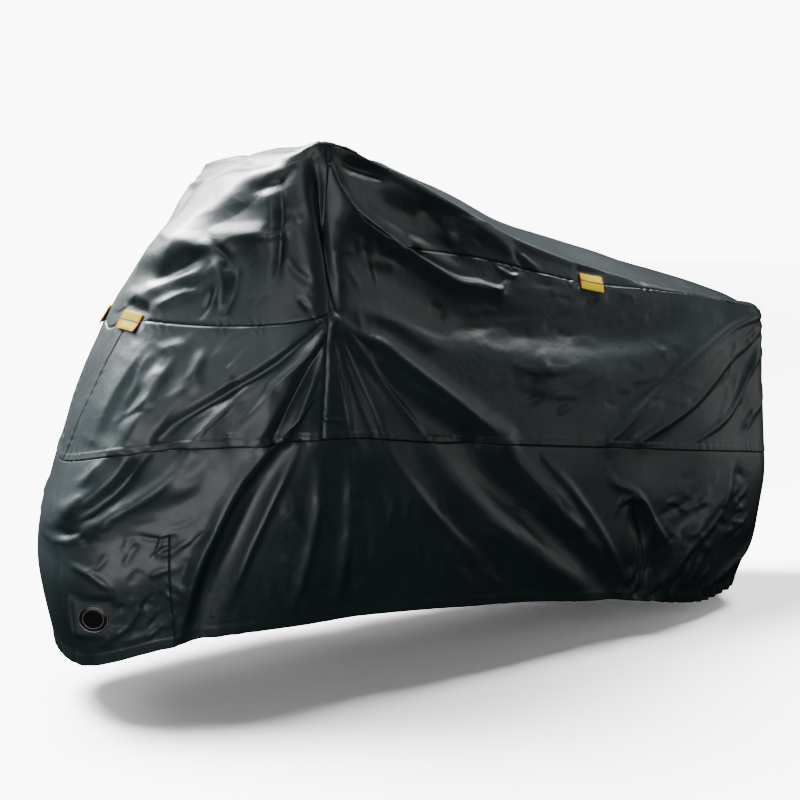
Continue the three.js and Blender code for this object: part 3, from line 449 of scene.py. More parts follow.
def form_directions(along, girth, side):
    """Outward normal of the form, and its steps in millimetres for a unit along and a unit of girth."""
    step_along, step_girth = 6, 0.03
    s = np.clip(along, step_along, TAIL - step_along)
    g = np.clip(girth, step_girth, CROWN - step_girth)
    forward = form_points(s + step_along, g, side) - form_points(s - step_along, g, side)
    up = form_points(s, g + step_girth, side) - form_points(s, g - step_girth, side)
    normal = unit(np.cross(forward, up) * -side[:, None])
    per_along = np.linalg.norm(forward, axis=1) / (2 * step_along)
    per_girth = np.linalg.norm(up, axis=1) / (2 * step_girth)
    return normal, per_along, per_girth


def smooth_route(route, per_leg=5):
    """Points along a smooth line through a route."""
    knots = np.array(route, float)
    padded = np.vstack([knots[:1], knots, knots[-1:]])
    t = np.linspace(0, 1, per_leg, endpoint=False)[:, None]
    legs = []
    for before, a, b, after in zip(padded, padded[1:], padded[2:], padded[3:]):
        m0, m1 = (b - before) / 2, (after - a) / 2
        legs.append((2 * a - 2 * b + m0 + m1) * t**3 + (-3 * a + 3 * b - 2 * m0 - m1) * t**2 + m0 * t + a)
    return np.vstack([*legs, knots[-1:]])


def fold_of(row):
    """A fold with the points of its line and their share of its length."""
    fold = dict(zip(FOLD_COLUMNS, row))
    line = smooth_route(fold["route"])
    length = run_of(line)
    fold["line"], fold["share"] = line, length / length[-1]
    return fold


def scattered_folds():
    """Small wrinkles in the patches of the table, each a little different."""
    rng = np.random.default_rng(SCATTER_SEED)
    folds = []
    for row in SCATTERED:
        patch = dict(zip(SCATTER_COLUMNS, row))
        for _ in range(patch["count"]):
            middle = np.array(patch["middle"]) + rng.uniform(-1, 1, 2) * patch["spread"]
            turn = math.radians(patch["turn"] + rng.normal() * patch["turn_spread"])
            ahead = np.array([math.cos(turn), math.sin(turn)])
            aside = np.array([-ahead[1], ahead[0]])
            half = patch["length"] * rng.uniform(0.3, 0.8)
            bow = rng.normal() * 0.12 * half
            route = [middle - ahead * half, middle + aside * bow, middle + ahead * half]
            height = patch["height"] * rng.uniform(0.5, 1.4) * rng.choice([1, 1, -1])
            width = patch["width"] * rng.uniform(0.7, 1.5)
            crisp = rng.uniform(0.2, 0.8)
            folds.append(fold_of(("wrinkle", route, height, width, 1.4 * width, 0.05, 0.05, crisp)))
    return folds


def fold_height(fold, at):
    """Height of one fold over points of the side view."""
    widest = FOLD_REACH * max(fold["left"], fold["right"])
    low, high = fold["line"].min(0) - widest, fold["line"].max(0) + widest
    near = np.flatnonzero(((at > low) & (at < high)).all(axis=1))
    height = np.zeros(len(at))
    if not len(near):
        return height
    points = at[near]
    distance = np.full(len(near), np.inf)
    share = np.zeros(len(near))
    width = np.ones(len(near))
    legs = zip(fold["line"], fold["line"][1:], fold["share"], fold["share"][1:])
    for a, b, share_a, share_b in legs:
        run = b - a
        offset = points - a
        t = np.clip(offset @ run / (run @ run), 0, 1)
        gap = offset - t[:, None] * run
        away = np.hypot(gap[:, 0], gap[:, 1])
        closer = away < distance
        on_left = run[0] * gap[:, 1] - run[1] * gap[:, 0] > 0
        distance = np.where(closer, away, distance)
        share = np.where(closer, share_a + t * (share_b - share_a), share)
        width = np.where(closer, np.where(on_left, fold["left"], fold["right"]), width)
    from_start = fold["start"] + (1 - fold["start"]) * clamp_smooth(0, FADE, share)
    from_end = fold["end"] + (1 - fold["end"]) * clamp_smooth(0, FADE, 1 - share)
    u = distance / width
    flank = np.clip(1 - np.hypot(u, CREST_ROUND) / FLANK_REACH, 0, 1) ** FLANK_CURVE
    profile = (1 - fold["crisp"]) * np.exp(-(u**2)) + fold["crisp"] * flank
    height[near] = fold["height"] * np.minimum(from_start, from_end) * profile
    return height


MAIN_FOLDS = {LEFT: [fold_of(row) for row in LEFT_FOLDS], RIGHT: [fold_of(row) for row in RIGHT_FOLDS]}
WRINKLES = scattered_folds()
FINE_FOLDS = {
    LEFT: [fold_of(row) for row in LEFT_CREASES] + WRINKLES,
    RIGHT: [fold_of(row) for row in RIGHT_CREASES] + WRINKLES,
}


def folds_over(points, folds):
    """Total height of the folds of both sides, blended over the middle of the cover."""
    share = clamp_smooth(-FOLD_BLEND, FOLD_BLEND, -points[:, 1])
    total = np.zeros(len(points))
    for side, weight in ((LEFT, share), (RIGHT, 1 - share)):
        used = np.flatnonzero(weight > 0)
        at = points[used][:, [0, 2]]
        for fold in folds[side]:
            total[used] += weight[used] * fold_height(fold, at)
    return total


def bar_arch(points):
    """The rise of the cloth between the grips, and its slack round the far grip."""
    near_bar = bell(points[:, 0] - BAR_X, BAR_REACH)
    rise = RISE_HEIGHT * bell(points[:, 1] - RISE_Y, RISE_REACH)
    return near_bar * (rise - SLACK_HEIGHT * clamp_smooth(*SLACK_Y, points[:, 1]))


def slack_waves(points):
    """Slow, uneven waves all over the cloth."""
    rng = np.random.default_rng(WAVE_SEED)
    height = np.zeros(len(points))
    for _ in range(WAVE_COUNT):
        direction = rng.normal(size=3)
        direction /= np.linalg.norm(direction)
        length = rng.uniform(*WAVE_LENGTHS)
        phase = rng.uniform(0, 2 * math.pi)
        share = length / WAVE_LENGTHS[1]
        height += WAVE_HEIGHT * share * np.sin(2 * math.pi * (points @ direction) / length + phase)
    return height


def rear_seam(along):
    """Girth of the upper seam behind the grip."""
    values = np.array(REAR_SEAM_GIRTH, float)[:, None, None]
    return smooth_curve(np.array(REAR_SEAM_ALONG, float), values, np.clip(along, GRIP_SEAM, TAIL))[:, 0]


def upper_seam(along):
    return np.where(along < GRIP_SEAM, UPPER_SEAM, rear_seam(along))


def front_seam(girth):
    """Place along the cover of the seam beside the front panel."""
    return FRONT_SEAM_TOP - (FRONT_SEAM_TOP - FRONT_SEAM_BOTTOM) * (UPPER_SEAM - girth)


def uneven(along, length, seed):
    """A number from 0 to 1 that changes slowly along a seam."""
    rng = np.random.default_rng(seed)
    total = np.zeros_like(along)
    for part in (1, 0.57, 0.31):
        total += np.sin(2 * math.pi * along / (length * part) + rng.uniform(0, 2 * math.pi))
    return np.clip(0.5 + total / 4, 0, 1)


def seam_relief(along, girth, side, per_along, per_girth):
    """Turned edges, puckers and gathers that the sewing leaves in the cloth."""
    height = np.zeros(len(along))
    seams = (
        (abs(girth - upper_seam(along)) * per_girth, (along < GRIP_SEAM) | (along > GRIP_SEAM + 30), 31),
        (abs(along - front_seam(girth)) * per_along, (girth > MIDDLE_SEAM) & (girth < UPPER_SEAM), 32),
        (abs(along - TAIL_SEAM) * per_along, (girth > MIDDLE_SEAM) & (girth < UPPER_SEAM), 33),
    )
    for distance, used, seed in seams:
        run = along + 230 * girth if seed == 31 else 330 * girth
        pucker = uneven(run, 260, seed) ** 2 * wavering(run, 23, 2.2, 61)
        relief = -SEAM_GROOVE[0] * bell(distance, SEAM_GROOVE[1])
        relief += SEAM_PUCKER[0] * pucker * bell(distance, SEAM_PUCKER[1])
        height += np.where(used, relief, 0)
    above = (girth - MIDDLE_SEAM) * per_girth
    band = 1 - clamp_smooth(BAND_DEPTH, BAND_DEPTH + 4, above)
    pucker = uneven(along, 340, 34) * wavering(along, 27, 1.7, 83)
    pucker = BAND_PUCKER[0] * pucker * bell(above, BAND_PUCKER[1])
    height += np.where(above > 0, BAND_PROUD * band + pucker, 0)
    height += np.where(above <= 0, -SKIRT_GROOVE[0] * bell(above, SKIRT_GROOVE[1]), 0)
    height += gathers(along, girth, side, per_along, per_girth)
    return height


def gathers(along, girth, side, per_along, per_girth):
    """Ripples behind the grip seam and along the elastic of the hem."""
    behind = (along - GRIP_SEAM) * per_along
    up = 270 * girth + 0.35 * behind + 6 * np.sin(girth * 9)
    strength = clamp_smooth(2, 2.15, girth) * (1 - clamp_smooth(2.75, 2.98, girth))
    ripple = np.sin(2 * math.pi * up / 31) * bell(np.maximum(behind, 0), GRIP_GATHER_REACH)
    height = 2.3 * strength * ripple * clamp_smooth(-3, 4, behind) * uneven(up, 190, 41)
    seam = (girth > MIDDLE_SEAM) & (girth < PEAK)
    deep = 0.8 + 2.6 * (1 - clamp_smooth(2.9, 3.1, girth))
    height = height + np.where(seam, -deep * bell(behind, GRIP_GROOVE_REACH), 0)
    above_hem = girth * per_girth
    ends = 1 - 0.75 * clamp_smooth(450, 700, along) * (1 - clamp_smooth(1650, 1850, along))
    ripple = wavering(along, 47, 1.9, 97, side * 0.8)
    ends = ends * (0.3 + 0.7 * clamp_smooth(700, 1500, along))
    return height + 4.6 * ends * uneven(along, 310, 42) * ripple * np.exp(-above_hem / HEM_GATHER_REACH)


class FlatPlace:
    """A flat place of the cloth where a hard piece of the frame sits."""

    def __init__(self, node, side, above_cloth, lift_share):
        mesh = frame["nodes"][node].data
        points = np.array([v.co for v in mesh.vertices]) / MM
        axes = np.linalg.eigh(np.cov((points - points.mean(0)).T))[1]
        self.out = axes[:, 0] * np.sign(axes[1, 0] * side)
        tall = axes[:, 1] if "tab" in node else np.array([0, 0, 1])
        tall = tall - self.out * (tall @ self.out)
        self.up = tall / np.linalg.norm(tall) * np.sign(tall[2])
        self.right = np.cross(self.up, self.out)
        basis = np.array([self.right, self.up, self.out])
        local = points @ basis.T
        low, high = local.min(0), local.max(0)
        middle = (low + high) / 2
        middle[2] = low[2] - above_cloth
        self.middle = middle @ basis
        self.half = (high - low)[:2] / 2
        self.side, self.lift_share = side, lift_share

    def flatten(self, points, side):
        """Points of the cloth, pressed into the plane of this place under the piece on it."""
        right, up, lift = ((points - self.middle) @ np.array([self.right, self.up, self.out]).T).T
        beyond = np.hypot(np.maximum(0, abs(right) - self.half[0]), np.maximum(0, abs(up) - self.half[1]))
        weight = 1 - clamp_smooth(PRESS_MARGIN, PRESS_FADE, beyond)
        weight = weight * (1 - clamp_smooth(0.5 * PRESS_DEPTH, PRESS_DEPTH, abs(lift)))
        weight = weight * np.where(side == self.side, np.where(lift > 0, 1, self.lift_share), 0)
        return points - np.outer(weight * lift, self.out)

    def to_frame(self, local):
        """Points given to the right, up and out of this place."""
        return self.middle + local @ np.array([self.right, self.up, self.out])


EYELET_BACK = -4.3
TAB_LIFT = 0.6
PRESS_DEPTH = 45
PRESS_MARGIN, PRESS_FADE = 4, 26
FLAT_PLACES = {}
for word, y in SIDES.items():
    FLAT_PLACES[f"lock_eyelet_{word}"] = FlatPlace(f"lock_eyelet_{word}", y, EYELET_BACK, 1)
    FLAT_PLACES[f"tab_front_{word}"] = FlatPlace(f"tab_front_{word}", y, TAB_LIFT, 0.15)
    FLAT_PLACES[f"tab_rear_{word}"] = FlatPlace(f"tab_rear_{word}", y, TAB_LIFT, 0.15)


def cloth_points(along, girth, side):
    """Points of the folded cloth's outer face, and its normals before the folds."""
    points = form_points(along, girth, side)
    normal, per_along, per_girth = form_directions(along, girth, side)
    height = folds_over(points, MAIN_FOLDS) + folds_over(points, FINE_FOLDS) + slack_waves(points)
    height += bar_arch(points) + seam_relief(along, girth, side, per_along, per_girth)
    points = points + normal * height[:, None]
    for place in FLAT_PLACES.values():
        points = place.flatten(points, side)
    points[on_middle(along, girth), 1] = 0
    return points, normal


# Sheets


class Block:
    """A grid over part of a panel: across and up are the shares of its columns and rows."""

    def __init__(self, across, up, place, side):
        u, t = np.meshgrid(across, up, indexing="ij")
        along, girth = place(u.ravel(), t.ravel())
        self.places = np.column_stack([along, girth, np.full(u.size, side, float)])
        self.faces = grid_faces(u.shape)
        if side == RIGHT:
            self.faces = self.faces[:, ::-1]


def graded(count, closer=0.6):
    """Shares from 0 to 1 that lie closer together near both ends."""
    u = np.linspace(0, 1, count + 1)
    return u - closer * np.sin(2 * math.pi * u) / (2 * math.pi)


def joined(blocks):
    """Places and faces of blocks sewn into one sheet."""
    places = np.vstack([b.places for b in blocks])
    starts = np.cumsum([0] + [len(b.places) for b in blocks[:-1]])
    faces = np.vstack([b.faces + start for b, start in zip(blocks, starts)])
    keys = np.column_stack([
        np.where(on_middle(places[:, 0], places[:, 1]), 0, places[:, 2]),
        np.round(places[:, 0] * 100),
        np.round(places[:, 1] * 10000),
    ]).astype(np.int64)
    _, first, same = np.unique(keys, axis=0, return_index=True, return_inverse=True)
    return places[first], same.ravel()[faces]


def vertex_normals(points, faces):
    """Unit normals of a mesh of four-sided faces at its points."""
    across = points[faces[:, 2]] - points[faces[:, 0]]
    up = points[faces[:, 3]] - points[faces[:, 1]]
    face = np.cross(across, up)
    normal = np.zeros_like(points)
    for corner in range(4):
        np.add.at(normal, faces[:, corner], face)
    return normal / np.maximum(np.linalg.norm(normal, axis=1), 1e-9)[:, None]


def open_edges(faces):
    """Edges with a face on one side only, in the direction in which that face has them."""
    edges = np.vstack([faces[:, [i, (i + 1) % 4]] for i in range(4)])
    keys = np.sort(edges, axis=1)
    _, first, count = np.unique(keys, axis=0, return_index=True, return_counts=True)
    return edges[first[count == 1]]


def sheet_object(name, blocks, finish, outside=None):
    """A closed thin sheet over blocks of the cloth, with its cloth measures and the mask of the painted shade
    in the eyelet holes kept on its points.
    """
    places, faces = joined(blocks)
    along, girth, side = places.T
    points, _ = cloth_points(along, girth, side)
    normal = vertex_normals(points, faces)
    rim = open_edges(faces)
    inward = np.zeros_like(points)
    for end in (0, 1):
        edge = points[rim[:, 1]] - points[rim[:, 0]]
        np.add.at(inward, rim[:, end], np.cross(normal[rim[:, end]], edge))
    length = np.linalg.norm(inward, axis=1)
    on_rim = (length > 0) & (girth > HEM + 0.001)
    points[on_rim] += inward[on_rim] / length[on_rim, None] * RIM_GAP / 2
    roll = HEM_ROLL * (1 - clamp_smooth(HEM_DEPTH, HEM_DEPTH + 0.02, girth))
    proud = roll if outside is None else roll + outside(along, girth)
    outer = points + normal * proud[:, None]
    inner = points - normal * (CLOTH + roll)[:, None]
    # The third cloth number is 0 where painted shade darkens the eyelet holes.
    both = np.tile(np.column_stack([along * MM, girth * 0.26, clear_of_painted_hole_shade(points)]), (2, 1))
    made = mesh_object(name, np.vstack([outer, inner]) * MM, closed_faces(faces, rim, len(points)), finish)
    keep_vector(made.data, "cloth", both)
    keep_sharp(made.data, np.tile(on_rim & (abs(girth - PATCH_TOP) < 0.001), 2))
    return made


def clear_of_painted_hole_shade(points):
    """1 over the cloth, and 0 where painted shade makes the inside of the eyelets dark."""
    light = np.ones(len(points))
    for word in SIDES:
        away = np.linalg.norm(points - FLAT_PLACES[f"lock_eyelet_{word}"].middle, axis=1)
        light = np.minimum(light, clamp_smooth(*EYELET_PAINTED_SHADE, away))
    return light


def keep_sharp(mesh, at_points):
    """Keeps the shading apart on both sides of the edges that join the given points."""
    ends = np.empty(2 * len(mesh.edges), np.int32)
    mesh.edges.foreach_get("vertices", ends)
    sharp = at_points[ends.reshape(-1, 2)].all(axis=1)
    mesh.attributes.new("sharp_edge", "BOOLEAN", "EDGE").data.foreach_set("value", sharp)


def mesh_object(name, points, faces, finish):
    """A smooth mesh object with one finish, from points in metres and faces of four corners."""
    mesh = bpy.data.meshes.new(name)
    mesh.vertices.add(len(points))
    mesh.vertices.foreach_set("co", np.asarray(points, np.float32).ravel())
    mesh.loops.add(faces.size)
    mesh.loops.foreach_set("vertex_index", faces.ravel().astype(np.int32))
    mesh.polygons.add(len(faces))
    mesh.polygons.foreach_set("loop_start", np.arange(0, faces.size, 4, dtype=np.int32))
    mesh.polygons.foreach_set("use_smooth", np.ones(len(faces), bool))
    mesh.update(calc_edges=True)
    mesh.validate()
    mesh.materials.append(finish)
    made = bpy.data.objects.new(name, mesh)
    bpy.context.scene.collection.objects.link(made)
    return made


def keep_vector(mesh, name, values):
    """Stores three numbers for each point of a mesh, for its finish to read."""
    attribute = mesh.attributes.new(name, "FLOAT_VECTOR", "POINT")
    attribute.data.foreach_set("vector", np.asarray(values, np.float32).ravel())


def dress(made, replaced):
    """Puts a piece on the frame in place of solid nodes."""
    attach(made, "root")
    if replaced:
        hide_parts(*replaced)


# Finishes


class Value:
    """A number that a finish works out over the surface, written as plain maths."""

    def __init__(self, finish, socket):
        self.finish, self.socket = finish, socket

    def maths(self, operation, first, second):
        return self.finish.value("ShaderNodeMath", {"operation": operation}, {0: first, 1: second})

    def __add__(self, other):
        return self.maths("ADD", self, other)

    def __radd__(self, other):
        return self.maths("ADD", other, self)

    def __sub__(self, other):
        return self.maths("SUBTRACT", self, other)

    def __rsub__(self, other):
        return self.maths("SUBTRACT", other, self)

    def __mul__(self, other):
        return self.maths("MULTIPLY", self, other)

    def __rmul__(self, other):
        return self.maths("MULTIPLY", other, self)

    def __pow__(self, other):
        return self.maths("POWER", self, other)

    def __abs__(self):
        return self.maths("ABSOLUTE", self, 0)

    def __gt__(self, other):
        return self.maths("GREATER_THAN", self, other)

    def __lt__(self, other):
        return self.maths("LESS_THAN", self, other)


class Finish:
    """A material with one shader, and the one way in which its nodes are made."""

    def __init__(self, name, settings):
        self.material = bpy.data.materials.new(name)
        self.material.use_nodes = True
        self.tree = self.material.node_tree
        self.shader = self.tree.nodes["Principled BSDF"]
        for socket, value in settings.items():
            self.shader.inputs[socket].default_value = value

    def feed(self, socket, value):
        value = value.socket if isinstance(value, Value) else value
        if isinstance(value, bpy.types.NodeSocket):
            self.tree.links.new(value, socket)
        else:
            socket.default_value = value

    def node(self, kind, settings=None, inputs=None):
        made = self.tree.nodes.new(kind)
        for name, value in (settings or {}).items():
            setattr(made, name, value)
        for socket, value in (inputs or {}).items():
            self.feed(made.inputs[socket], value)
        return made

    def value(self, kind, settings=None, inputs=None, output=0):
        return Value(self, self.node(kind, settings, inputs).outputs[output])

    def noise(self, vector, scale, detail=2.0, roughness=0.5, distortion=0.0):
        inputs = {"Vector": vector, "Scale": scale, "Detail": detail, "Roughness": roughness,
                  "Distortion": distortion}
        return self.value("ShaderNodeTexNoise", None, inputs)

    def mix(self, factor, first, second):
        """A colour between two colours."""
        made = self.node("ShaderNodeMix", {"data_type": "RGBA"}, {0: factor, 6: first, 7: second})
        return made.outputs[2]

    def surface(self):
        return self.node("ShaderNodeTexCoord").outputs["Object"]

    def cloth_measure(self):
        return self.node("ShaderNodeAttribute", {"attribute_name": "cloth"}).outputs["Vector"]

    def numbers(self, vector):
        made = self.node("ShaderNodeSeparateXYZ", None, {0: vector})
        return [Value(self, output) for output in made.outputs]

    def set(self, socket, value):
        self.feed(self.shader.inputs[socket], value)

    def raise_height(self, height, distance):
        bump = self.node("ShaderNodeBump", None, {"Strength": 1.0, "Distance": distance, "Height": height})
        self.set("Normal", bump.outputs[0])


def with_alpha(colour):
    return (*colour, 1.0)


# Near black, painted into the cloth behind each eyelet's hole as painted shade.
PAINTED_HOLE_SHADE = (0.001, 0.001, 0.001)


def lighter(colour, times):
    return with_alpha([min(1.0, c * times) for c in colour])


def coated_cloth(name, colour, roughness, weave):
    """Woven polyester under a glossy coating: weave, film waves, small crinkles and dusty wear, and painted
    shade that turns the cloth black and matte inside the eyelet holes.
    """
    finish = Finish(name, {"IOR": 1.5, "Coat Roughness": 0.22})
    place = finish.surface()
    along, up, light = finish.numbers(finish.cloth_measure())
    film = finish.noise(place, 38.0, 3.0, 0.55)
    slow = finish.noise(place, 5.0, 2.0)
    crinkle = 1 - abs(finish.noise(place, 17.0, 2.0, 0.5, 1.2) - 0.5) * 5
    crinkle = finish.value("ShaderNodeMath", {"operation": "MAXIMUM"}, {0: crinkle, 1: 0.0})
    thread = 2 * math.pi / weave
    warp = finish.value("ShaderNodeMath", {"operation": "SINE"}, {0: along * thread})
    weft = finish.value("ShaderNodeMath", {"operation": "SINE"}, {0: up * thread})
    height = film * 0.5 + crinkle * 0.25 + warp * weft * 0.03
    finish.raise_height(height, 0.0012)
    dust = finish.noise(place, 130.0, 4.0, 0.7)
    tone = slow * 0.7 + dust * 0.3
    cloth = finish.mix(tone, lighter(colour, 0.9), lighter(colour, 1.7))
    # Painted shade: where the third cloth number falls to 0, inside the eyelet holes, the cloth is painted
    # near black, fully rough and without coat.
    finish.set("Base Color", finish.mix(light, with_alpha(PAINTED_HOLE_SHADE), cloth))
    finish.set("Roughness", 1 - light * (1 - roughness - (film - 0.5) * 0.14 - (dust - 0.5) * 0.06))
    finish.set("Coat Weight", (0.12 + crinkle * 0.1) * light)
    return finish.material


def bound_edge(name, colour):
    """Satin tape and thread."""
    finish = Finish(name, {"IOR": 1.47})
    place = finish.surface()
    rib = finish.noise(place, 420.0, 2.0)
    finish.raise_height(rib, 0.0003)
    finish.set("Base Color", finish.mix(rib, lighter(colour, 0.8), lighter(colour, 1.8)))
    finish.set("Roughness", 0.42 + (rib - 0.5) * 0.2)
    return finish.material


def moulded_plastic(name, colour):
    """Black plastic with a fine moulded grain and handling marks, and a painted highlight: light grey painted
    on the crests marked in its cloth attribute.
    """
    finish = Finish(name, {"IOR": 1.49})
    place = finish.surface()
    grain = finish.noise(place, 900.0, 2.0)
    marks = finish.noise(place, 60.0, 4.0, 0.7)
    finish.raise_height(grain * 0.3 + marks * 0.7, 0.0001)
    # Painted highlight: the marked crests of the eyelet are painted light grey.
    painted_crest, _, _ = finish.numbers(finish.cloth_measure())
    black = finish.mix(marks, lighter(colour, 0.8), lighter(colour, 1.6))
    finish.set("Base Color", finish.mix(painted_crest * painted_crest, black, lighter(colour, 22)))
    finish.set("Roughness", 0.24 + (marks - 0.5) * 0.16)
    return finish.material


def reflective_tape(name, colour, stripe, edge):
    """Yellow tape with a dark plain stripe, a darker border and pressed diagonal cells, its yellow darkened
    by a painted shade on the front tabs.
    """
    finish = Finish(name, {"IOR": 1.5, "Specular IOR Level": 0.05, "Coat Roughness": 0.15})
    place = finish.surface()
    right, up, painted_shade = finish.numbers(finish.cloth_measure())
    cells = finish.value("ShaderNodeMath", {"operation": "SINE"}, {0: (right + up) * 1800.0})
    cross = finish.value("ShaderNodeMath", {"operation": "SINE"}, {0: (right - up) * 1800.0})
    soil = finish.noise(place, 70.0, 4.0, 0.6)
    finish.raise_height(cells * cross * 0.3 + soil * 0.5, 0.0003)
    deep = (colour[0], colour[1] * 1.2, 0.0)
    # Painted shade: the yellow is darker on the front tabs, and it is also darkened by soil.
    base = finish.mix(painted_shade * (1 - soil * 0.25), with_alpha((0, 0, 0)), lighter(deep, 0.95))
    striped = finish.mix(abs(up) < TAB_STRIPE_HALF, base, with_alpha(stripe))
    border = abs(right) > TAB_BORDER
    finish.set("Base Color", finish.mix(border, striped, with_alpha(edge)))
    finish.set("Roughness", 0.38 + (soil - 0.5) * 0.2)
    finish.set("Coat Weight", soil * 0.02)
    return finish.material


FINISHES = {}


def finish_of(slot, context):
    """The finish of a material slot, made once from the settings."""
    if slot not in FINISHES:
        cloth, trim = context.scene.cover_cloth, context.scene.cover_trim
        dull, weave = cloth.roughness, cloth.weave
        tape = (trim.tab_colour, trim.stripe_colour, trim.edge_colour)
        makers = {
            "coated_cloth": lambda: coated_cloth(slot, cloth.colour, dull, weave),
            "lock_cloth": lambda: coated_cloth(slot, cloth.patch_colour, dull + 0.03, weave),
            "seam_binding": lambda: bound_edge(slot, trim.binding_colour),
            "black_plastic": lambda: moulded_plastic(slot, trim.plastic_colour),
            "yellow_tape": lambda: reflective_tape(slot, *tape),
        }
        FINISHES[slot] = makers[slot]()
    return FINISHES[slot]


# Panels


def per_girth_at(along, girth, side=LEFT):
    """Millimetres of cloth for a unit of girth."""
    return form_directions(along, girth, filled(along, side))[2]


def below_middle_seam(along):
    """Girth at which the skirt ends under the piping."""
    girth = filled(along, MIDDLE_SEAM)
    return MIDDLE_SEAM - (PIPING_RADIUS * 0.6 + GAP) / per_girth_at(along, girth)


def above_middle_seam(along):
    """Girth at which the upper panels start over the piping."""
    girth = filled(along, MIDDLE_SEAM)
    return MIDDLE_SEAM + GAP / per_girth_at(along, girth)


def between(low, high, start, end):
    """Maps shares to places between two lines of girth and two places along the cover."""
    def place(u, t):
        along = start + u * (end - start)
        bottom, top = low(along), high(along)
        return along, bottom + t * (top - bottom)
    return place


def level(girth):
    return lambda along: filled(along, girth)


def columns(start, end, step):
    return np.linspace(0, 1, round((end - start) / step) + 1)


def skirt_blocks():
    made = []
    step = 6
    for side in SIDES.values():
        spans = ((NOSE, PATCH_START), (PATCH_START, PATCH_END), (PATCH_END, TAIL))
        for start, end in spans:
            across = columns(start, end, step)
            upper = between(level(PATCH_TOP), below_middle_seam, start, end)
            made.append(Block(across, graded(25), upper, side))
            if start != PATCH_START:
                lower = between(level(HEM), level(PATCH_TOP), start, end)
                made.append(Block(across, graded(39, 0.5), lower, side))
    return made


def patch_blocks(side):
    place = between(level(HEM), level(PATCH_TOP), PATCH_START, PATCH_END)
    return [Block(graded(80, 0.4), graded(84, 0.4), place, side)]


def front_blocks():
    def place(u, t):
        girth = MIDDLE_SEAM + t * (UPPER_SEAM - MIDDLE_SEAM)
        along = u * front_seam(girth)
        bottom = above_middle_seam(along)
        return along, bottom + t * (UPPER_SEAM - bottom)
    return [Block(graded(24, 0.3), graded(60), place, side) for side in SIDES.values()]


def side_front_blocks(side):
    def place(u, t):
        girth = MIDDLE_SEAM + t * (UPPER_SEAM - MIDDLE_SEAM)
        seam = front_seam(girth)
        along = seam + u * (GRIP_SEAM - seam)
        bottom = above_middle_seam(along)
        return along, bottom + t * (UPPER_SEAM - bottom)
    return [Block(graded(150, 0.4), graded(88), place, side)]


def side_rear_blocks(side):
    place = between(above_middle_seam, rear_seam, GRIP_SEAM, TAIL_SEAM)
    return [Block(graded(372, 0.4), graded(94), place, side)]


def rear_blocks():
    place = between(above_middle_seam, rear_seam, TAIL_SEAM, TAIL)
    return [Block(graded(26, 0.3), graded(70), place, side) for side in SIDES.values()]


def top_blocks():
    made = []
    hood = columns(NOSE, GRIP_SEAM, 6)
    rear = columns(GRIP_SEAM, TAIL, 7)
    cap = np.linspace(0, 1, 28)
    hood_side = between(level(UPPER_SEAM), level(PEAK), NOSE, GRIP_SEAM)
    rear_side = between(rear_seam, level(PEAK), GRIP_SEAM, TAIL)
    for side in SIDES.values():
        made.append(Block(hood, graded(62, 0.3), hood_side, side))
        made.append(Block(rear, graded(28, 0.3), rear_side, side))
        made.append(Block(hood, cap, between(level(PEAK), level(CROWN), NOSE, GRIP_SEAM), side))
        made.append(Block(rear, cap, between(level(PEAK), level(CROWN), GRIP_SEAM, TAIL), side))
    return made


def colour_setting(name, description, default):
    return FloatVectorProperty(
        name=name, description=description, default=default, subtype="COLOR", min=0, max=1,
    )


class CoverCloth(bpy.types.PropertyGroup):
    colour: colour_setting(
        "Cloth colour", "Colour of the coated cloth", SLOT_COLOUR["coated_cloth"],
    )
    patch_colour: colour_setting(
        "Patch colour", "Colour of the double layer at the lock eyelets", SLOT_COLOUR["lock_cloth"],
    )
    roughness: FloatProperty(
        name="Roughness", description="How dull the coating is", subtype="FACTOR", default=0.44, min=0, max=1,
    )
    weave: FloatProperty(
        name="Weave", description="Width of two threads of the weave", unit="LENGTH", default=0.0012,
        min=0.0002, max=0.01,
    )


class CoverTrim(bpy.types.PropertyGroup):
    binding_colour: colour_setting(
        "Binding colour", "Colour of the seam piping and thread", SLOT_COLOUR["seam_binding"],
    )
    plastic_colour: colour_setting(
        "Eyelet colour", "Colour of the lock eyelets", SLOT_COLOUR["black_plastic"],
    )
    tab_colour: colour_setting(
        "Tab colour", "Colour of the reflective tabs", SLOT_COLOUR["yellow_tape"],
    )
    stripe_colour: colour_setting(
        "Stripe colour", "Colour of the plain stripe on the tabs", (0.12, 0.10, 0.06),
    )
    edge_colour: colour_setting(
        "Tab edge colour", "Colour of the short edges of the tabs", (0.45, 0.12, 0.01),
    )
    stitch: FloatProperty(
        name="Stitch", description="Length of one stitch with its gap", unit="LENGTH", default=0.0052,
        min=0.002, max=0.02,
    )


class CoverStage(bpy.types.PropertyGroup):
    azimuth: FloatProperty(
        name="Azimuth", description="Direction from which the camera looks", subtype="ANGLE",
        default=math.radians(-27),
    )
    elevation: FloatProperty(
        name="Elevation", description="Angle of the camera above the horizon", subtype="ANGLE",
        default=math.radians(8.5),
    )
    distance: FloatProperty(
        name="Distance", description="From the camera to its target", unit="LENGTH", default=2.9, min=0.5,
    )
    lens: FloatProperty(
        name="Lens", description="Focal length for a 36 mm sensor, in millimetres", default=50.85, min=10,
    )
    floor: FloatProperty(
        name="Floor", description="Height of the floor under the cover", unit="LENGTH",
        default=-0.05,
    )
    key: FloatProperty(name="Key light", description="Strength of the front lights", default=80.0, min=0)
    top: FloatProperty(name="Top light", description="Strength of the light overhead", default=300.0, min=0)


class COVER_OT_top(bpy.types.Operator):
    """Sew the top panel over the hood, the tank and the seat"""

    bl_idname = "cover.top"
    bl_label = "Top panel"

    def execute(self, context):
        made = sheet_object("top_panel_cloth", top_blocks(), finish_of("coated_cloth", context))
        dress(made, ["top_panel"])
        return {"FINISHED"}


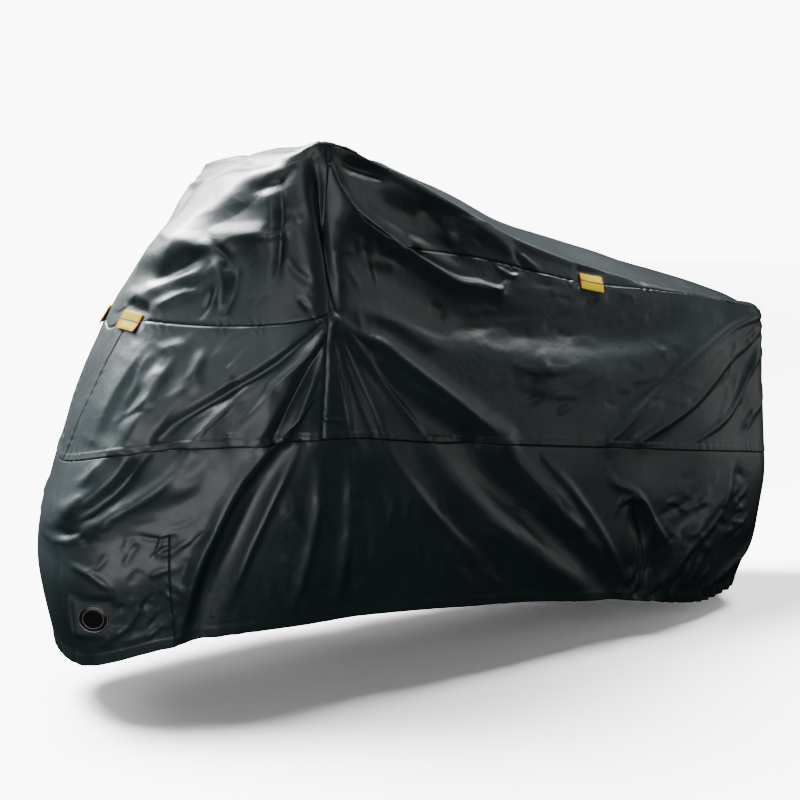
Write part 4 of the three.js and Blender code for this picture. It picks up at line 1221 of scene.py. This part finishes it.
class COVER_OT_sides(bpy.types.Operator):
    """Sew the front and rear side panels of both sides"""

    bl_idname = "cover.sides"
    bl_label = "Side panels"

    def execute(self, context):
        cloth = finish_of("coated_cloth", context)
        for word, side in SIDES.items():
            for kind, blocks in (("side_front", side_front_blocks), ("side_rear", side_rear_blocks)):
                made = sheet_object(f"{kind}_{word}_cloth", blocks(side), cloth)
                dress(made, [f"{kind}_{word}"])
        return {"FINISHED"}


class COVER_OT_ends(bpy.types.Operator):
    """Sew the panels at the nose and the tail"""

    bl_idname = "cover.ends"
    bl_label = "Front and rear panels"

    def execute(self, context):
        for kind, blocks in (("front_panel", front_blocks), ("rear_panel", rear_blocks)):
            made = sheet_object(f"{kind}_cloth", blocks(), finish_of("coated_cloth", context))
            dress(made, [kind])
        return {"FINISHED"}


class COVER_OT_skirt(bpy.types.Operator):
    """Sew the skirt with its elastic hem, and the double patches at the lock eyelets"""

    bl_idname = "cover.skirt"
    bl_label = "Skirt and lock patches"

    def execute(self, context):
        made = sheet_object("skirt_cloth", skirt_blocks(), finish_of("coated_cloth", context))
        dress(made, ["skirt"])
        for word, side in SIDES.items():
            patch = sheet_object(
                f"lock_patch_{word}_cloth", patch_blocks(side), finish_of("lock_cloth", context),
                lambda along, girth: PATCH_PROUD * (1 - clamp_smooth(0.85, 1.15, girth)),
            )
            dress(patch, [f"lock_patch_{word}"])
        return {"FINISHED"}


def tube(name, centre, normal, ahead, radius, sides, finish):
    """A closed tube along a closed line of points in millimetres."""
    aside = np.cross(normal, ahead)
    turn = np.linspace(0, 2 * math.pi, sides, endpoint=False)
    ring = np.cos(turn)[None, :, None] * normal[:, None] + np.sin(turn)[None, :, None] * aside[:, None]
    points = (centre[:, None] + radius * ring).reshape(-1, 3)
    return mesh_object(name, points * MM, ring_faces(len(centre), sides)[:, ::-1], finish)


def round_line(girth, step=6, inset=0.0):
    """Points, normals and directions of a line of girth all round the cover."""
    along = np.linspace(NOSE, TAIL, round(TAIL / step) + 1)
    there = np.concatenate([along[:-1], along[:0:-1]])
    side = np.concatenate([np.full(len(along) - 1, LEFT), np.full(len(along) - 1, RIGHT)]).astype(float)
    girths = girth(there)
    points, normal = cloth_points(there, girths, side)
    ahead = unit(np.roll(points, -1, axis=0) - np.roll(points, 1, axis=0))
    normal = unit(normal - ahead * (normal * ahead).sum(1)[:, None])
    return points - normal * inset, normal, ahead


class COVER_OT_piping(bpy.types.Operator):
    """Lay the round piping into the middle seam"""

    bl_idname = "cover.piping"
    bl_label = "Seam piping"

    def execute(self, context):
        centre, normal, ahead = round_line(level(MIDDLE_SEAM), inset=CLOTH / 2)
        made = tube("seam_piping_round", centre, normal, ahead, PIPING_RADIUS * 0.8, 8,
                    finish_of("seam_binding", context))
        dress(made, ["seam_piping"])
        return {"FINISHED"}


STITCH_LINES = (
    # girth above the middle seam, or below the upper seam, in millimetres, and where the line runs
    ("middle", 6.5, NOSE, TAIL),
    ("middle", 10.5, NOSE, TAIL),
    ("upper", -5, 150, TAIL_SEAM),
    ("upper", 5, 150, TAIL_SEAM),
)
STITCH_LENGTH, STITCH_WIDTH, STITCH_PROUD = 3.4, 0.7, 0.35


def stitch_places(seam, offset, start, end, side, pitch):
    """Places of the middles of a row of stitches beside a seam."""
    along = np.linspace(start, end, 1200)
    line = level(MIDDLE_SEAM) if seam == "middle" else upper_seam
    girth = line(along)
    girth = girth + offset / per_girth_at(along, girth, side)
    points, _ = cloth_points(along, girth, filled(along, side))
    run = run_of(points)
    steep = (along > GRIP_SEAM - 25) & (along < GRIP_SEAM + 60) & (seam == "upper")
    wanted = np.arange(pitch / 2, run[-1], pitch)
    at = np.interp(wanted, run, along)
    there = np.interp(at, along, girth)
    kept = np.interp(wanted, run, steep.astype(float)) < 0.01
    return at[kept], there[kept]


class COVER_OT_stitches(bpy.types.Operator):
    """Sew the rows of thread beside the seams"""

    bl_idname = "cover.stitches"
    bl_label = "Stitches"

    def execute(self, context):
        pitch = context.scene.cover_trim.stitch / MM
        corners = []
        for side in SIDES.values():
            for seam, offset, start, end in STITCH_LINES:
                along, girth = stitch_places(seam, offset, start, end, side, pitch)
                sides = filled(along, side)
                points, normal = cloth_points(along, girth, sides)
                beyond, _ = cloth_points(along + 2, girth, sides)
                ahead = unit(beyond - points)
                normal = unit(normal - ahead * (normal * ahead).sum(1)[:, None])
                aside = np.cross(normal, ahead)
                corners.append(stitch_corners(points, ahead, aside, normal))
        points = np.vstack(corners)
        made = mesh_object("seam_thread", points * MM, stitch_faces(len(points) // 12),
                           finish_of("seam_binding", context))
        dress(made, [])
        return {"FINISHED"}


def stitch_corners(points, ahead, aside, normal):
    """Three rings of four points round each stitch, sunk at both ends and proud in the middle."""
    rings = []
    for along, high in ((-0.5, -0.5), (0, STITCH_PROUD), (0.5, -0.5)):
        middle = points + ahead * STITCH_LENGTH * along + normal * high
        for across, up in ((-0.5, 0), (0, 0.5), (0.5, 0), (0, -0.5)):
            rings.append(middle + (aside * across + normal * up) * STITCH_WIDTH)
    return np.stack(rings, axis=1).reshape(-1, 3)


def stitch_faces(count):
    """Faces of that many stitches of three rings each."""
    one = []
    for ring in (0, 4):
        for i in range(4):
            j = (i + 1) % 4
            one.append((ring + i, ring + 4 + i, ring + 4 + j, ring + j))
    one += [(0, 1, 2, 3), (11, 10, 9, 8)]
    return (np.array(one)[None] + 12 * np.arange(count)[:, None, None]).reshape(-1, 4)


def lathe(profile, sides):
    """Points and faces of a closed profile of radius and height, turned about the outward axis."""
    turn = np.linspace(0, 2 * math.pi, sides, endpoint=False)
    radius, height = np.array(profile, float).T
    points = np.stack([
        np.outer(np.cos(turn), radius), np.outer(np.sin(turn), radius), np.tile(height, (sides, 1)),
    ], axis=2)
    return points.reshape(-1, 3), ring_faces(sides, len(profile))


EYELET_PROFILE = (
    # radius and height above the cloth under the patch, from the back of the hole round
    (20, -4.3), (30, -4.3), (30.6, -3.9), (30.6, -2.6), (30, -2.3), (22.5, -2.3), (22.5, 1.3),
    (32.4, 1.3), (33, 1.7), (33.1, 2.4), (32.6, 3.0), (31.6, 3.4), (30.6, 3.2), (29.9, 2.6),
    (28.6, 2.5), (25, 2.9), (24.2, 3.3), (23.6, 4.2), (22.6, 4.7), (21.6, 4.6), (20.8, 4.0), (20, 2.8),
)


class COVER_OT_eyelets(bpy.types.Operator):
    """Press the plastic eyelets for a lock into both sides"""

    bl_idname = "cover.eyelets"
    bl_label = "Lock eyelets"

    def execute(self, context):
        local, faces = lathe(EYELET_PROFILE, 72)
        for word in SIDES:
            node = f"lock_eyelet_{word}"
            points = FLAT_PLACES[node].to_frame(local)
            made = mesh_object(f"{node}_ring", points * MM, faces, finish_of("black_plastic", context))
            # The two crests of the profile are marked for the plastic's painted highlight.
            radius = np.hypot(local[:, 0], local[:, 1])
            crest = [abs(radius - painted_crest) < PAINTED_HIGHLIGHT_HALF for painted_crest in PAINTED_HIGHLIGHT_RADII]
            rim = (local[:, 2] > PAINTED_HIGHLIGHT_FOOT) & np.any(crest, axis=0)
            keep_vector(made.data, "cloth", np.repeat(rim.astype(float), 3).reshape(-1, 3))
            dress(made, [node])
        return {"FINISHED"}


class COVER_OT_tabs(bpy.types.Operator):
    """Sew the four yellow reflective tabs over the upper seams"""

    bl_idname = "cover.tabs"
    bl_label = "Reflective tabs"

    def execute(self, context):
        half_width, half_height, corner = TAB_HALF_WIDTH, TAB_HALF_HEIGHT, TAB_CORNER
        u, v = np.meshgrid(graded(36, 0.5), graded(24, 0.5), indexing="ij")
        x = (2 * u - 1) * half_width
        y = (2 * v - 1) * half_height
        over = np.maximum(0, abs(x) - (half_width - corner)) * np.maximum(0, abs(y) - (half_height - corner))
        pull = 0.3 * over / corner
        x = x - np.sign(x) * pull
        y = y - np.sign(y) * pull
        from_ends = half_width - abs(2 * u - 1) * half_width
        edge = np.minimum(from_ends, half_height - abs(2 * v - 1) * half_height)
        crown = 0.9 * clamp_smooth(0, 5, edge) + 0.5 * np.sin(x / 9) * np.sin(y / 14 + 1)
        groove = -TAB_GROOVE * bell(edge - TAB_GROOVE_INSET, TAB_GROOVE_REACH)
        top = np.stack([x, y, TAB_LIFT + TAB_THICKNESS + crown + groove], axis=2).reshape(-1, 3)
        bottom = np.stack([x, y, np.full(x.shape, TAB_LIFT)], axis=2).reshape(-1, 3)
        faces = grid_faces(x.shape)
        faces = closed_faces(faces, open_edges(faces), x.size)
        flat = np.vstack([top, bottom])
        for place in ("front", "rear"):
            for word in SIDES:
                node = f"tab_{place}_{word}"
                local = flat + np.outer(self.bend(place, flat, SIDES[word]), (0, 0, 1))
                points = FLAT_PLACES[node].to_frame(local)
                made = mesh_object(f"{node}_label", points * MM, faces, finish_of("yellow_tape", context))
                # Painted shade, darker on the front tabs than on the rear ones.
                painted_shade = np.full(len(flat), TAB_PAINTED_SHADE[place])
                keep_vector(made.data, "cloth", np.column_stack([flat[:, :2] * MM, painted_shade]))
                dress(made, [node])
        return {"FINISHED"}

    @staticmethod
    def bend(place, local, side):
        """How far a label stands off its flat place: curled round the nose, or folded at its middle."""
        if place == "rear":
            creased = 1.2 - 1.6 * clamp_smooth(2, 22, abs(local[:, 1]))
            return creased + 1.5 * (local[:, 0] * side / TAB_HALF_WIDTH) ** 2
        to_nose = np.clip(local[:, 0] * side / TAB_HALF_WIDTH, -1, 1)
        lower = clamp_smooth(0, TAB_HALF_HEIGHT, -local[:, 1])
        return 2 - 4 * clamp_smooth(0.2, 1, to_nose) + 3 * lower * clamp_smooth(-1, 0.2, -to_nose)


LIGHTS = (
    # name, place, target and size in metres, share of a setting, spread in degrees, sheen only
    ("top light", (-1.5, 0.7, 3.2), (-0.7, -0.1, 0.95), (2.0, 2.6), 0.26, "top", 55, False),
    ("far top light", (-1.3, 1.6, 2.8), (-0.7, 0, 1.0), (1.3, 1.3), 0.18, "top", 50, True),
    ("rear top light", (1.94, -0.25, 3.3), (0.2, 0, 1.0), (0.8, 0.8), 0.035, "top", 60, False),
    ("nose light", (-3.1, 2.1, 2.4), (-0.9, 0, 0.7), (1.6, 2.2), 0.04, "key", 36, False),
    ("front light", (-3.4, -3.2, 1.8), (-0.5, 0, 0.7), (2.2, 2.2), 0.32, "key", 180, False),
    ("low light", (-1.7, -1.9, 0.05), (-0.95, -0.2, 0.35), (1.6, 1.0), 0.1, "key", 100, False),
    ("tail light", (4.2, -1.2, 1.0), (0.6, 0, 0.6), (2.4, 2.2), 0.2, "key", 180, False),
    ("side light", (1.9, -4.4, 1.6), (0.2, 0, 0.7), (2.4, 2.0), 0.03, "key", 180, False),
    ("low tail light", (2.6, -3.0, 0.2), (0.85, 0, 0.2), (1.0, 0.8), 0.006, "key", 40, False),
)


def area_light(name, place, target, size, power, spread, sheen_only):
    light = bpy.data.lights.new(name, "AREA")
    light.shape = "RECTANGLE"
    light.size, light.size_y = size
    light.energy = power
    light.spread = math.radians(spread)
    made = bpy.data.objects.new(name, light)
    made.location = place
    made.rotation_euler = (Vector(target) - Vector(place)).to_track_quat("-Z", "Y").to_euler()
    made.visible_camera = False
    made.visible_diffuse = not sheen_only
    bpy.context.scene.collection.objects.link(made)


class COVER_OT_stage(bpy.types.Operator):
    """Set the floor, the lights and the camera"""

    bl_idname = "cover.stage"
    bl_label = "Stage"

    def execute(self, context):
        stage = context.scene.cover_stage
        target = Vector((-0.13, 0, 0.6))
        back = Vector((
            math.sin(stage.azimuth) * math.cos(stage.elevation),
            -math.cos(stage.azimuth) * math.cos(stage.elevation),
            math.sin(stage.elevation),
        ))
        camera = bpy.data.objects.new("camera", bpy.data.cameras.new("camera"))
        camera.data.lens = stage.lens
        camera.location = target + back * stage.distance
        camera.rotation_euler = (-back).to_track_quat("-Z", "Y").to_euler()
        context.scene.collection.objects.link(camera)
        context.scene.camera = camera
        floor = disc("floor", 40.0, stage.floor, pale_floor())
        world = bpy.data.worlds.new("studio")
        world.use_nodes = True
        world.node_tree.nodes["Background"].inputs["Color"].default_value = (1, 1, 1, 1)
        world.node_tree.nodes["Background"].inputs["Strength"].default_value = 10.0
        world.cycles_visibility.diffuse = False
        world.cycles_visibility.glossy = False
        context.scene.world = world
        for name, place, aim, size, share, setting, spread, sheen_only in LIGHTS:
            area_light(name, place, aim, size, share * getattr(stage, setting), spread, sheen_only)
        return {"FINISHED"}


def disc(name, radius, height, finish):
    mesh = bpy.data.meshes.new(name)
    turn = np.linspace(0, 2 * math.pi, 96, endpoint=False)
    rim = np.column_stack([radius * np.cos(turn), radius * np.sin(turn), np.full(96, height)])
    mesh.from_pydata(rim.tolist(), [], [list(range(96))])
    mesh.materials.append(finish)
    made = bpy.data.objects.new(name, mesh)
    made.is_shadow_catcher = True
    made.visible_glossy = False
    made.visible_diffuse = False
    bpy.context.scene.collection.objects.link(made)
    return made


def pale_floor():
    settings = {"Base Color": (0.9, 0.9, 0.9, 1), "Roughness": 0.9, "Specular IOR Level": 0.0}
    return Finish("floor", settings).material


class COVER_PT_panel(bpy.types.Panel):
    """Lists the settings and the steps that sew the cover"""

    bl_label = "Motorcycle Cover"
    bl_idname = "COVER_PT_panel"
    bl_space_type = "VIEW_3D"
    bl_region_type = "UI"
    bl_category = "Cover"

    def draw(self, context):
        for settings in (context.scene.cover_cloth, context.scene.cover_trim, context.scene.cover_stage):
            box = self.layout.box()
            for name in settings.__annotations__:
                box.prop(settings, name)
        for step in STEPS:
            self.layout.operator(step.bl_idname)


STEPS = (
    COVER_OT_stage, COVER_OT_top, COVER_OT_sides, COVER_OT_ends, COVER_OT_skirt, COVER_OT_piping,
    COVER_OT_stitches, COVER_OT_eyelets, COVER_OT_tabs,
)
SETTINGS = {"cover_cloth": CoverCloth, "cover_trim": CoverTrim, "cover_stage": CoverStage}


def register():
    for kind in (*SETTINGS.values(), *STEPS, COVER_PT_panel):
        bpy.utils.register_class(kind)
    for name, kind in SETTINGS.items():
        setattr(bpy.types.Scene, name, PointerProperty(type=kind))


def unregister():
    for name in SETTINGS:
        delattr(bpy.types.Scene, name)
    for kind in reversed((*SETTINGS.values(), *STEPS, COVER_PT_panel)):
        bpy.utils.unregister_class(kind)


def main():
    register()
    for step in STEPS:
        group, name = step.bl_idname.split(".")
        getattr(getattr(bpy.ops, group), name)()


if __name__ == "__main__":
    main()
